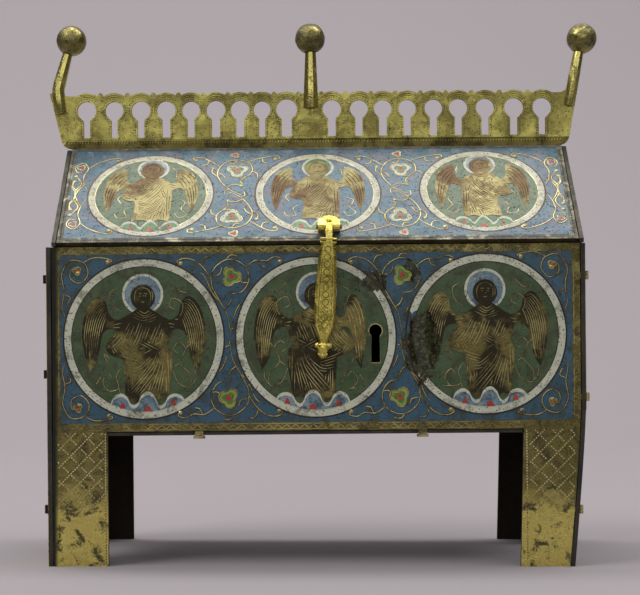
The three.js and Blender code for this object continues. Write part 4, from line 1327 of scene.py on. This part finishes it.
def wall_skin(name, node, place, field, feet, material, deep=0.15):
    """The gilt skin of a wall: border with a running wave, feet with a dotted net."""
    outline, *openings = face_outlines(node, place)
    left, right, bottom, top = field
    holes = [rectangle(*field), *(o for o in openings if not inside(o[0], rectangle(*field)))]
    wave = running_wave(left, right, top + 1.35) + running_wave(left, right, bottom - 1.45)
    rails = [[(left - 1, height), (right + 1, height)]
             for height in (top + 0.45, top + 2.2, bottom - 0.5, bottom - 2.3)]
    rails += [[(x, bottom - 1), (x, top + 1)] for x in (left - 0.6, right + 0.6)]
    cuts = engrave(outline, rails + wave, 0.34, 0.28, 0.6, holes)
    net, rows = [], []
    for foot_left, foot_right, inner in feet:
        net += clipped(lattice(foot_left, foot_right, 19.5, bottom - 3.2), foot_left, foot_right)
        rows.append([(inner, 1.5), (inner, bottom - 3.4)])
    dents = punch(outline, rows + net, 0.95, 0.7, 0.42, holes)
    skin = plate([outline, *holes, *cuts], 0.0, deep, place)
    made = piece(name, [skin], material, "casket", "gilt_copper")
    # On the walls the dents are not cut: only their lips are laid on, in a bright gold as painted
    # highlight.
    if dents:
        piece(name + "_dot_highlights", [painted_dent_highlights(dents, deep, place)], PUNCH_HIGHLIGHT_GILT, "casket", "gilt_copper")
    print(name + ":", len(cuts), "cuts,", triangles(made), "triangles")


# %% Front skin
wall_skin("front_skin", "front_plate", FRONT, FIELD, [(-87.0, -71.3, -71.1), (70.5, 87.0, 70.3)],
          WALL_SKIN_GILT)

# %% [markdown]
# ## The roof
#
# The front slope repeats the walls on a smaller scale: three roundels with angels rising from clouds,
# and scrolls that end in little multicoloured blossoms.  It catches the light from above, so its glass
# looks paler and its gilding brighter.  The roundels run up under the crest.

# %% Roof: enamels
ROOF_FIELD = (-ROOF_HALF + 1.9, ROOF_HALF - 1.9, 2.2, ROOF_LENGTH - 1.2)
ROOF_ROUNDELS = [(-57.6, 24.7), (0.3, 25.0), (57.3, 25.8)]
ROOF_OUTER, ROOF_INNER = 21.5, 19.4
ROOF_FINISHES = {"blue": ROOF_BLUE, "green": ROOF_GREEN, "white": ROOF_WHITE, "halo": HALO_BLUE,
                 "halo_green": LEAF_GREEN, "red": RED, "yellow": YELLOW, "leaf_green": LEAF_GREEN,
                 "cloud_blue": HALO_BLUE, "lines": ROOF_LINE_GILT, "grime": ROOF_SHADE_AND_GRIME,
                 "seam": ROOF_LINE_GILT, "figures": ROOF_FIGURE_GILT,
                 "figure_groove_painted_light": ROOF_GROOVE_SHADE_GILT}
ROOF_SCROLLS = [  # right of the middle of a gap, which is 7.3 wide at its waist; lower half
    [(-2.6, 1.0), (1.4, -1.6), (4.9, -6.2), (6.4, -11.4), (4.2, -16.6), (-0.4, -18.4),
     (-4.8, -16.4), (-5.8, -12.0), (-3.2, -8.8), (0.4, -9.4), (1.4, -12.0)],
    [(1.9, -2.4), (3.5, -1.3), (3.2, 0.8)], [(6.4, -11.4), (4.6, -10.2), (3.4, -8.0)],
    [(-5.8, -12.0), (-7.6, -10.6), (-7.8, -8.4)], [(9.6, -18.2), (10.2, -16.0), (12.2, -15.6)],
    [(-9.4, -19.4), (-9.6, -17.2), (-11.4, -16.6)], [(-0.4, -18.4), (0.6, -16.4), (2.4, -16.2)],
    [(-4.2, -9.6), (-2.0, -6.6), (-2.6, -5.0)],
    [(5.6, -14.6), (8.6, -17.4), (12.2, -19.8), (15.2, -19.6), (14.4, -18.2)],
    [(-3.9, -17.2), (-7.4, -18.8), (-11.2, -20.0), (-14.6, -20.6), (-15.4, -19.2), (-13.8, -18.7)],
    [(2.9, -3.1), (0.8, -4.6), (-2.0, -4.2)], [(6.3, -9.2), (8.3, -11.6), (8.0, -13.6)],
]
ROOF_CORNER = [  # from a ring's middle, for the lower right corner
    [(22.4, 3.6), (21.9, -1.2), (23.6, -6.0), (24.2, -10.4), (23.0, -14.6), (25.0, -17.8),
     (27.6, -15.6), (26.6, -12.6), (24.6, -13.2)],
    [(23.0, -14.6), (20.2, -17.4), (16.2, -19.6), (12.6, -20.4), (11.8, -19.0), (13.2, -18.5)],
    [(26.6, 10.2), (24.6, 6.2), (26.4, 2.0), (25.4, -2.4), (23.6, -6.0)],
    [(26.4, 2.0), (27.7, 4.4), (27.2, 7.0)], [(25.4, -2.4), (27.4, -4.4), (27.6, -7.4)],
]


def roof_gap(middle, height, place):
    for sign in (1, -1):
        lines = [[(middle + x * sign, height + y * sign) for x, y in smooth(line)]
                 for line in ROOF_SCROLLS]
        vines(clear_of(lines, [(centre, ROOF_OUTER + 0.7) for centre in ROOF_ROUNDELS]), 0.46, place)
        blossom((middle - 0.6 * sign, height - 12.6 * sign), 3.9, 0 if sign > 0 else 180, place,
                ["white", "leaf_green", "red"])
        blossom((middle + 0.4 * sign, height - 21.2 * sign), 1.7, 90, place, ["white", "red"])
        for x, y in ((14.2, -18.4), (-13.9, -18.9), (-2.2, -4.1), (7.9, -13.8)):
            berry((middle + x * sign, height + y * sign), place)


def roof_corner(centre, right, up, place):
    lines = [[(centre[0] + x * right, centre[1] - y * up) for x, y in smooth(line)]
             for line in ROOF_CORNER]
    vines(clear_of(lines, [(centre, ROOF_OUTER + 0.7)]), 0.46, place)
    blossom((centre[0] + 25.4 * right, centre[1] + 15.2 * up), 1.5, 30 * right, place,
            ["cloud_blue", "red"])
    for x, y in ((12.9, -18.8), (26.9, 10.4), (27.2, 7.4)):
        berry((centre[0] + x * right, centre[1] - y * up), place)


def roof_slope(name, place, figures):
    lay("blue", plate([rectangle(*ROOF_FIELD)], 0.0, 0.07, place))
    for number, (u, v) in enumerate(ROOF_ROUNDELS):
        ground, halo = (("blue", "halo_green") if number == 1 else ("green", "halo"))
        ring((u, v), ROOF_OUTER, ROOF_INNER, place, ground)
        figures((u, v), place, halo, number)
    for middle in (-28.6, 28.9):
        roof_gap(middle, 25.2, place)
    for side, centre in ((-1, ROOF_ROUNDELS[0]), (1, ROOF_ROUNDELS[2])):
        for up in (-1, 1):
            roof_corner(centre, side, up, place)
    build_layers(name, ROOF_FINISHES, "lid")


def roof_angel(centre, place, halo, number):
    figure(RISING, centre, place, ("white", "leaf_green", "red"), flip=number == 2, halo=halo)
    vines([moved(smooth(line), centre, flip=number == 2) for line in RISING["tendrils"]], 0.32, place)


roof_slope("roof", ROOF_FRONT, roof_angel)


# %% Roof: gilt borders
def slope_skin(name, node, place):
    outline, *openings = face_outlines(node, place)
    left, right, bottom, top = ROOF_FIELD
    field = rectangle(*ROOF_FIELD)
    holes = [field, *(o for o in openings if not inside(o[0], field))]
    rows = [[(x, bottom - 1), (x, top - 1)] for x in (left - 0.85, right + 0.85)]
    rail = [[(left, bottom - 1.1), (right, bottom - 1.1)]]
    cuts = engrave(outline, rail, 0.24, 0.24, 0.6, holes) + punch(outline, rows, 1.0, 0.6, 0.5, holes)
    skin = plate([outline, *holes, *cuts], 0.0, 0.15, place)
    piece(name, [skin], ROOF_SKIN_GILT, "lid", "gilt_copper")


slope_skin("roof_front_skin", "roof_front", ROOF_FRONT)

# %% [markdown]
# ## The crest
#
# The crest is one pierced strip, engraved on both faces.  Punched dots run round each opening, thin
# arcs follow the scallops, and a hatched band runs along the foot.  The skin again takes its outline
# and openings from the construction solid.

# %% Crest skins
CREST_HALF = 0.6
CREST_FRONT = board((0, -CREST_HALF, 0), (1, 0, 0), (0, 0, 1))
CREST_BACK = board((0, CREST_HALF, 0), (-1, 0, 0), (0, 0, 1))


def around(outline, distance):
    """A closed outline moved outwards by a distance."""
    turning = sum(x0 * y1 - x1 * y0 for (x0, y0), (x1, y1) in zip(outline, outline[1:] + outline[:1]))
    sign = -1 if turning > 0 else 1
    line = even(outline + outline[:1], 0.35)
    return beside(line, sign * distance)


def crest_skin(name, place):
    outline, *openings = face_outlines("crest", place)
    dots = [around(opening, 0.8) for opening in openings]
    arcs = []
    for opening in openings:
        left, right = min(x for x, _ in opening), max(x for x, _ in opening)
        middle, radius = (left + right) / 2, (right - left) / 2
        eye = max(y for _, y in opening) - radius
        arcs += [arc((middle, eye), radius + gap, 35, 145) for gap in (1.5, 2.15)]
    ends = min(x for x, _ in outline) + 5.5, max(x for x, _ in outline) - 5.5
    rail = [[(ends[0], 148.0), (ends[1], 148.0)]]
    hatch = [[(x, 146.75), (x + 0.4, 147.5)] for x in span(ends[0], ends[1], 1.0)]
    cuts = engrave(outline, rail + arcs + hatch, 0.24, 0.22, 0.4, openings)
    cuts += punch(outline, dots, 0.95, 0.52, 0.42, openings)
    # The cuts show the crest solid below, in a gold darkened as painted shade.
    skin = plate([outline, *openings, *cuts], 0.0, 0.14, place)
    made = piece(name, [skin], CREST_GILT, "lid", "gilt_copper")
    print(name + ":", len(cuts), "cuts,", triangles(made), "triangles")


def span(start, end, step):
    return [start + step * i for i in range(int((end - start) / step) + 1)]


crest_skin("crest_skin_front", CREST_FRONT)
crest_skin("crest_skin_back", CREST_BACK)

# %% [markdown]
# ## Knobs and stems
#
# The knobs are hollow balls hammered from sheet, so they are not quite round and are pitted.  Each is
# a sphere with its lower pole opened and turned in for the stem.  Fractal noise moves its surface by
# a tenth of a millimetre, as a hammer does.  The stems are forged: eight-sided rods that taper, one of
# them bent by a knock, their feet slit to sit astride the crest.

# %% Stems and knobs
STEMS = {  # line of the rod in upright millimetres, its radii, and the knob's middle
    "left": ([(-90.9, 157.6), (-91.6, 163.4), (-91.8, 166.1), (-91.2, 168.8), (-87.7, 181.3)],
             [2.05, 2.15, 2.15, 2.1, 1.6], (-86.9, 183.8)),
    "middle": ([(-1.3, 159.0), (-1.28, 166.0), (-1.25, 181.4)], [2.6, 2.45, 1.8], (-1.4, 183.9)),
    "right": ([(91.1, 159.0), (93.2, 170.0), (95.35, 181.0)], [2.1, 1.95, 1.65], (96.0, 183.1)),
}
KNOB_RADIUS = 5.35


def uncut(mesh, cutter_size, middle):
    """Takes a box out of a mesh with a Boolean modifier, and returns the new mesh."""
    work = bmesh.new()
    bmesh.ops.create_cube(work, size=1.0)
    bmesh.ops.scale(work, vec=cutter_size, verts=work.verts)
    bmesh.ops.translate(work, vec=middle, verts=work.verts)
    box_mesh = bpy.data.meshes.new("cutter")
    work.to_mesh(box_mesh)
    work.free()
    body, cutter = bpy.data.objects.new("body", mesh), bpy.data.objects.new("cutter", box_mesh)
    for one in (body, cutter):
        scene.collection.objects.link(one)
    cut = body.modifiers.new("slit", "BOOLEAN")
    cut.object, cut.solver = cutter, "EXACT"
    bpy.context.view_layer.update()
    graph = bpy.context.evaluated_depsgraph_get()
    result = bpy.data.meshes.new_from_object(body.evaluated_get(graph))
    for one in (body, cutter):
        bpy.data.objects.remove(one)
    bpy.data.meshes.remove(mesh)
    bpy.data.meshes.remove(box_mesh)
    return result


def forged_rod(line, radii):
    """An eight-sided rod along a line of the plane y = 0, its edges softened."""
    work = bmesh.new()
    rings = []
    for i, ((x, z), radius) in enumerate(zip(line, radii)):
        before, after = line[max(i - 1, 0)], line[min(i + 1, len(line) - 1)]
        turn = math.atan2(after[0] - before[0], after[1] - before[1])
        place = Matrix.Translation((x, 0, z)) @ Matrix.Rotation(turn, 4, "Y")
        made = bmesh.ops.create_circle(work, segments=8, radius=radius / math.cos(math.pi / 8),
                                       matrix=place @ Matrix.Rotation(math.pi / 8, 4, "Z"))
        rings.append(made["verts"])
    loops = [[e for e in work.edges if all(v in ring for v in e.verts)] for ring in map(set, rings)]
    for lower, upper in zip(loops, loops[1:]):
        bmesh.ops.bridge_loops(work, edges=lower + upper)
    for ring in (rings[0], rings[-1]):
        bmesh.ops.contextual_create(work, geom=ring)
    long_edges = [e for e in work.edges if len(e.link_faces) == 2 and e.calc_face_angle() > 0.5]
    bmesh.ops.bevel(work, geom=long_edges, offset=0.28, segments=3, profile=0.5, affect="EDGES",
                    material=-1)
    bmesh.ops.recalc_face_normals(work, faces=work.faces)
    mesh = bpy.data.meshes.new("rod")
    work.to_mesh(mesh)
    work.free()
    return mesh


def hammered_ball(middle, towards, bore, seed):
    """A ball drilled from the side of its stem; towards is the unit direction from ball to stem."""
    work = bmesh.new()
    bmesh.ops.create_uvsphere(work, u_segments=56, v_segments=40, radius=KNOB_RADIUS)
    cap = [v for v in work.verts if v.co.z < 0 and v.co.xy.length < bore]
    bmesh.ops.delete(work, geom=cap, context="VERTS")
    for vert in work.verts:
        push = noise.fractal(vert.co * 0.22 + Vector((seed, 0, 0)), 0.6, 2.1, 3)
        vert.co *= 1 + 0.022 * push
    rim = [e for e in work.edges if e.is_boundary]
    inner = bmesh.ops.extrude_edge_only(work, edges=rim)["geom"]
    verts = [g for g in inner if isinstance(g, bmesh.types.BMVert)]
    bmesh.ops.translate(work, vec=(0, 0, 1.4), verts=verts)
    bmesh.ops.contextual_create(work, geom=verts)
    turn = Vector((0, 0, -1)).rotation_difference(Vector(towards)).to_matrix().to_4x4()
    bmesh.ops.transform(work, matrix=Matrix.Translation(middle) @ turn, verts=work.verts)
    mesh = bpy.data.meshes.new("ball")
    work.to_mesh(mesh)
    work.free()
    return mesh


for seed, (side, (line, radii, knob)) in enumerate(STEMS.items()):
    rod = uncut(forged_rod(line, radii), (240, 1.6, 22), (0, 0, 145.1 + 9.0))
    rod.transform(SET_DOWN)
    stem = piece(side + "_stem_forged", [rod], STEM_GILT, "lid", "gilt_copper", smooth_faces=True)
    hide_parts(side + "_stem")
    towards = Vector((line[-1][0] - knob[0], 0, line[-1][1] - knob[1])).normalized()
    ball = hammered_ball((knob[0], 0, knob[1]), towards, radii[-1] + 0.35, 5.0 * seed)
    ball.transform(SET_DOWN)
    hammered = piece(side + "_knob_hammered", [ball], KNOB_GILT, "lid", "gilt_copper", True)
    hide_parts(side + "_knob")
    print(side, "stem and knob:", triangles(stem), "+", triangles(hammered), "triangles")

# %% [markdown]
# ## The hasp
#
# The hasp was forged in one piece: a knuckle, a neck with two rings, a domed strap and a small beast's
# head.  Its strap starts as one face, which is extruded for the edge and then inset twice, each time
# a little higher, so that the front is domed.  The face carries a column of engraved circles on a
# punched ground.

# %% Hasp: knuckle, neck and strap
HASP_AXIS = STAND_UP @ Vector(hasp_hinge["pos_m"])
HASP_BACK, HASP_FACE = -37.6, -39.5
HANG = (SET_DOWN @ Matrix.Translation((HASP_AXIS.x, HASP_BACK, HASP_AXIS.z))
        @ Matrix.Rotation(math.radians(3.3), 4, "Y") @ Matrix.Rotation(math.radians(90), 4, "X"))
STRAP = [(5.0, 2.45), (6.5, 2.5), (8.0, 2.75), (13.0, 3.2), (20.0, 3.5), (26.0, 3.6), (30.0, 3.6),
         (33.0, 3.3), (35.0, 2.6), (36.4, 2.0), (38.0, 1.5), (40.5, 1.3)]


def strap_outline(shrink=0.0, ends=0.0):
    half = [(half - shrink, -below) for below, half in STRAP[:]]
    half[0] = (half[0][0], half[0][1] - ends)
    half[-1] = (half[-1][0], half[-1][1] + ends)
    return half + [(-x, y) for x, y in reversed(half)]


def strap_mesh():
    work = bmesh.new()
    face = work.faces.new([work.verts.new((x, y, 0)) for x, y in reversed(strap_outline())])
    for rise, inset in ((0.75, 0.0), (0.62, 0.5), (0.38, 0.45)):
        if inset:
            bmesh.ops.inset_region(work, faces=[face], thickness=inset, use_even_offset=True)
        else:
            top = bmesh.ops.extrude_face_region(work, geom=[face], use_keep_orig=True)["geom"]
            face = next(g for g in top if isinstance(g, bmesh.types.BMFace))
        bmesh.ops.translate(work, vec=(0, 0, rise), verts=face.verts)
    bmesh.ops.recalc_face_normals(work, faces=work.faces)
    return mesh_from(work, HANG)


def mesh_from(work, place):
    mesh = bpy.data.meshes.new("part")
    work.to_mesh(mesh)
    work.free()
    mesh.transform(place)
    return mesh


def knuckle(half_length, outer, bore):
    """A short tube along X: a small rectangle spun round the hinge's axis."""
    work = bmesh.new()
    corners = [(-half_length, bore), (half_length, bore), (half_length, outer - 0.2),
               (half_length - 0.2, outer), (0.2 - half_length, outer), (-half_length, outer - 0.2)]
    verts = [work.verts.new((x, 0, r)) for x, r in corners]
    edges = [work.edges.new((a, b)) for a, b in zip(verts, verts[1:] + verts[:1])]
    bmesh.ops.spin(work, geom=verts + edges, cent=(0, 0, 0), axis=(1, 0, 0), angle=2 * math.pi,
                   steps=32, use_merge=True)
    bmesh.ops.remove_doubles(work, verts=work.verts, dist=1e-4)
    bmesh.ops.recalc_face_normals(work, faces=work.faces)
    return mesh_from(work, SET_DOWN @ Matrix.Translation(HASP_AXIS))


def bar(size, middle, place, soft=0.25):
    """A small block with rounded edges."""
    work = bmesh.new()
    bmesh.ops.create_cube(work, size=1.0)
    bmesh.ops.scale(work, vec=size, verts=work.verts)
    bmesh.ops.bevel(work, geom=work.edges, offset=soft, segments=3, profile=0.5, affect="EDGES",
                    material=-1)
    bmesh.ops.translate(work, vec=middle, verts=work.verts)
    return mesh_from(work, place)


def neck_mesh():
    """The curved neck between knuckle and strap, drawn in profile and extruded along X."""
    y, z = HASP_AXIS.y, HASP_AXIS.z
    profile = [(y - 0.5, z + 1.5), (y - 2.2, z + 0.4), (y - 3.4, z - 1.3), (-39.1, z - 3.0),
               (HASP_FACE, z - 4.3), (HASP_FACE, z - 5.6), (HASP_BACK, z - 5.6), (y - 2.2, z - 3.4),
               (y - 1.1, z - 1.2)]
    work = bmesh.new()
    face = work.faces.new([work.verts.new((0, a, b)) for a, b in profile])
    top = bmesh.ops.extrude_face_region(work, geom=[face], use_keep_orig=True)["geom"]
    verts = [g for g in top if isinstance(g, bmesh.types.BMVert)]
    bmesh.ops.translate(work, vec=(2.3, 0, 0), verts=verts)
    bmesh.ops.recalc_face_normals(work, faces=work.faces)
    bmesh.ops.bevel(work, geom=work.edges, offset=0.2, segments=2, profile=0.5, affect="EDGES",
                    material=-1)
    return mesh_from(work, SET_DOWN @ Matrix.Translation((HASP_AXIS.x - 1.15, 0, 0)))


# %% Hasp: beast's head
SNOUT = [(39.0, 0), (39.1, 1.6), (39.7, 2.2), (40.6, 2.3), (41.4, 1.95), (42.0, 1.6), (42.6, 1.68),
         (43.2, 1.55), (43.8, 1.2), (44.2, 0.8), (44.5, 0)]


def beast_head():
    work = bmesh.new()
    verts = [work.verts.new((radius, -below, 0)) for below, radius in SNOUT]
    edges = [work.edges.new(pair) for pair in zip(verts, verts[1:])]
    bmesh.ops.spin(work, geom=verts + edges, cent=(0, 0, 0), axis=(0, 1, 0), angle=2 * math.pi,
                   steps=28, use_merge=True)
    bmesh.ops.remove_doubles(work, verts=work.verts, dist=1e-4)
    lumps = [(-2.05, -39.9, 0.4, 0.95), (2.05, -39.9, 0.4, 0.95), (-0.95, -41.0, 1.35, 0.5),
             (0.95, -41.0, 1.35, 0.5), (0, -43.2, 1.2, 0.62), (-1.25, -42.8, 0.8, 0.45),
             (1.25, -42.8, 0.8, 0.45)]
    for x, y, z, radius in lumps:
        bmesh.ops.create_uvsphere(work, u_segments=16, v_segments=10, radius=radius,
                                  matrix=Matrix.Translation((x, y, z)))
    bmesh.ops.recalc_face_normals(work, faces=work.faces)
    return mesh_from(work, HANG @ Matrix.Translation((0, 0, 0.95)) @ Matrix.Diagonal((1, 1, 0.95, 1)))


RING_BARS = [bar((5.6, 0.62, 2.3), (0, -below, 0.95), HANG) for below in (4.15, 5.35)]
hasp = piece("hasp_forged", [knuckle(1.15, 1.65, 1.0), neck_mesh(), strap_mesh(), beast_head(),
                             *RING_BARS], HASP_GILT, "hasp", "gilt_copper")
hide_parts("hasp")
for face in hasp.data.polygons:
    face.use_smooth = face.area < 0.35 * MM * MM
print("hasp:", triangles(hasp), "triangles")

# %% Hasp: engraved face
CIRCLE_PITCH, CIRCLE_RADIUS = 2.52, 1.16


def hasp_skin():
    outline = strap_outline(0.98, 0.3)
    cuts, taken = [], []
    for i in range(11):
        middle = (0.0, -7.8 - CIRCLE_PITCH * i)
        cuts += [circle(middle, CIRCLE_RADIUS, 24), circle(middle, CIRCLE_RADIUS - 0.24, 24)]
        taken.append(circle(middle, CIRCLE_RADIUS + 0.15, 24))
    sides = [[(sign * (half - 1.45), -below) for below, half in STRAP[2:9]] for sign in (-1, 1)]
    grooves = engrave(outline, sides, 0.2, 0.2, 0.5)
    dots = [[(sign * x, -y / 10) for y in range(72, 345, 2)] for sign in (-1, 1)
            for x in (1.25, 1.6)]
    dots = punch(outline, dots, 0.5, 0.28, 0.28, taken + grooves)
    # The ground under the engraved face shows in its cuts, coloured dark as painted shade.
    ground = plate([outline], 1.70, 1.78, HANG)
    piece("hasp_engraving_painted_shade", [ground], HASP_GROOVE_SHADE_GILT, "hasp", "gilt_copper")
    skin = plate([outline, *cuts, *grooves, *dots], 1.78, 1.9, HANG)
    return piece("hasp_engraved_face", [skin], HASP_GILT, "hasp", "gilt_copper")


print("hasp face:", triangles(hasp_skin()), "triangles")

# %% [markdown]
# ## Back and ends
#
# The back and the ends of such caskets were made plainer, because they stood against a wall or an
# altar.  The back carries a net of gilt lozenges with four-petalled flowers, each end one roundel with
# a large rosette.  A flower is repeated often, so it is only a few small plates.

# %% Flowers in a net
FLOWER_COLOURS = [("white", "red"), ("leaf_green", "yellow")]


def petals(centre, size, count=4, turn=0.0, points=16):
    outline = []
    for i in range(points):
        t = 2 * math.pi * i / points
        reach = size * (0.6 + 0.4 * abs(math.cos(count * t / 2)))
        outline.append((reach * math.sin(t), reach * math.cos(t)))
    return moved(outline, centre, turn)


def flower(centre, size, place, outer, inner, height=0.1):
    lay("lines", plate([petals(centre, size), petals(centre, size * 0.86)], 0.0, height + 0.05, place))
    lay(outer, plate([petals(centre, size * 0.86)], 0.0, height, place))
    lay(inner, plate([circle(centre, size * 0.34, 8)], 0.0, height + 0.03, place))


def flower_net(name, field, columns, rows, place, finishes, body):
    left, right, bottom, top = field
    wide, tall = (right - left) / columns, (top - bottom) / rows
    lay("blue", plate([rectangle(*field)], 0.0, 0.07, place))
    net = []
    for k in range(-rows, columns):
        for slope in (1, -1):
            foot = left + k * wide
            ends = (bottom, top) if slope > 0 else (top, bottom)
            low, high = max(0, -k) / rows, min(rows, columns - k) / rows
            net.append([(foot + rows * wide * t, ends[0] + (ends[1] - ends[0]) * t)
                        for t in (low, (low + high) / 2, high)])
    lay("lines", ribs(net, 0.5, 0.0, 0.16, place))
    for i in range(2 * columns - 1):
        for j in range(2 * rows - 1):
            if (i + j) % 2 == 0:
                centre = (left + wide * (i + 1) / 2, bottom + tall * (j + 1) / 2)
                flower(centre, tall * 0.27, place, *FLOWER_COLOURS[i % 2])
    build_layers(name, finishes, body)


flower_net("back", FIELD, 12, 4, BACK, WALL_FINISHES, "casket")
wall_skin("back_skin", "back_plate", BACK, FIELD, [(-87.0, -70.5, -70.3), (71.3, 87.0, 71.1)],
          WALL_SKIN_GILT)
flower_net("roof_back", ROOF_FIELD, 15, 4, ROOF_BACK, ROOF_FINISHES, "lid")
slope_skin("roof_back_skin", "roof_back", ROOF_BACK)

# %% Ends
END_FIELD = (-31.2, 31.2, 48.6, 105.2)
END_CENTRE = (0.0, 76.9)


def rosette(centre, reach, place):
    """Eight petals round a white and red eye."""
    for i in range(8):
        turn = 45 * i
        petal = smooth([(0, reach * 0.2), (reach * 0.24, reach * 0.56), (reach * 0.2, reach * 0.86),
                        (0, reach), (-reach * 0.2, reach * 0.86), (-reach * 0.24, reach * 0.56)],
                       closed=True)
        core = [(x * 0.55, reach * 0.58 + (y - reach * 0.58) * 0.6) for x, y in petal]
        lay("lines", ribs([moved(petal, centre, turn)], 0.4, 0.0, 0.18, place, closed=True))
        lay(("halo", "leaf_green")[i % 2], plate([moved(petal, centre, turn)], 0.0, 0.12, place))
        lay(("white", "yellow")[i % 2], plate([moved(core, centre, turn)], 0.0, 0.14, place))
    lay("lines", ribs([circle(centre, reach * 0.2, 32)], 0.4, 0.0, 0.2, place, closed=True))
    lay("white", plate([circle(centre, reach * 0.19, 32)], 0.0, 0.15, place))
    lay("red", plate([circle(centre, reach * 0.11, 24)], 0.0, 0.165, place))


def end_wall(name, node, place):
    lay("blue", plate([rectangle(*END_FIELD)], 0.0, 0.07, place))
    ring(END_CENTRE, RING_OUTER, RING_INNER, place, "green")
    rosette(END_CENTRE, 22.5, place)
    for side in (-1, 1):
        for up in (-1, 1):
            wall_corner(END_CENTRE, side, up, place)
    build_layers(name, WALL_FINISHES, "casket")
    wall_skin(name + "_skin", node, place, END_FIELD, [(-34.0, -19.3, -19.0), (19.3, 34.0, 19.0)],
              END_SKIN_GILT)


end_wall("left_end", "left_end_plate", LEFT_END)
end_wall("right_end", "right_end_plate", RIGHT_END)


# %% Gables
def gable_wall(name, node, place):
    outline, *openings = face_outlines(node, place)
    low, high = min(v for _, v in outline), max(v for _, v in outline)
    middle = (0.0, low + (high - low) * 0.36)
    field = [(-27.6, low + 3.0), (27.6, low + 3.0), (1.8, high - 4.4), (-1.8, high - 4.4)]
    lay("blue", plate([field], 0.0, 0.07, place))
    lay("green", plate([circle(middle, 8.6, 64)], 0.0, 0.10, place))
    lay("white", plate([circle(middle, 9.8, 64), circle(middle, 8.4, 64)], 0.0, 0.13, place))
    rings = [circle(middle, radius, 64) for radius in (10.0, 8.3)]
    lay("lines", ribs(rings, 0.4, 0.0, 0.17, place, closed=True))
    rosette(middle, 7.4, place)
    for side in (-1, 1):
        vine = smooth([(10.4, -1.6), (13.0, -4.2), (16.6, -4.6), (18.6, -2.0), (16.4, 0.2),
                       (14.2, -1.4), (15.6, -2.8)])
        twig = smooth([(16.6, -4.6), (19.6, -6.9), (23.0, -7.2), (22.6, -5.6)])
        bud = smooth([(2.4, 10.4), (1.4, 13.0), (-1.2, 14.6), (-0.6, 12.6)])
        vines = [moved(line, middle, flip=side < 0) for line in (vine, twig, bud)]
        lay("lines", ribs(vines, 0.46, 0.0, 0.17, place))
        lay("red", plate([circle((middle[0] + 16.4 * side, middle[1] - 1.5), 0.8, 12)], 0, 0.14, place))
    build_layers(name, ROOF_FINISHES, "lid")
    rails = [[(-26.6, low + 2.4), (26.6, low + 2.4)], [(-28.6, low + 1.0), (28.6, low + 1.0)]]
    cuts = engrave(outline, rails, 0.24, 0.24, 0.6, [field, *openings])
    skin = plate([outline, field, *openings, *cuts], 0.0, 0.12, place)
    piece(name + "_skin", [skin], ROOF_SKIN_GILT, "lid", "gilt_copper")


gable_wall("left_gable", "left_gable", LEFT_GABLE)
gable_wall("right_gable", "right_gable", RIGHT_GABLE)
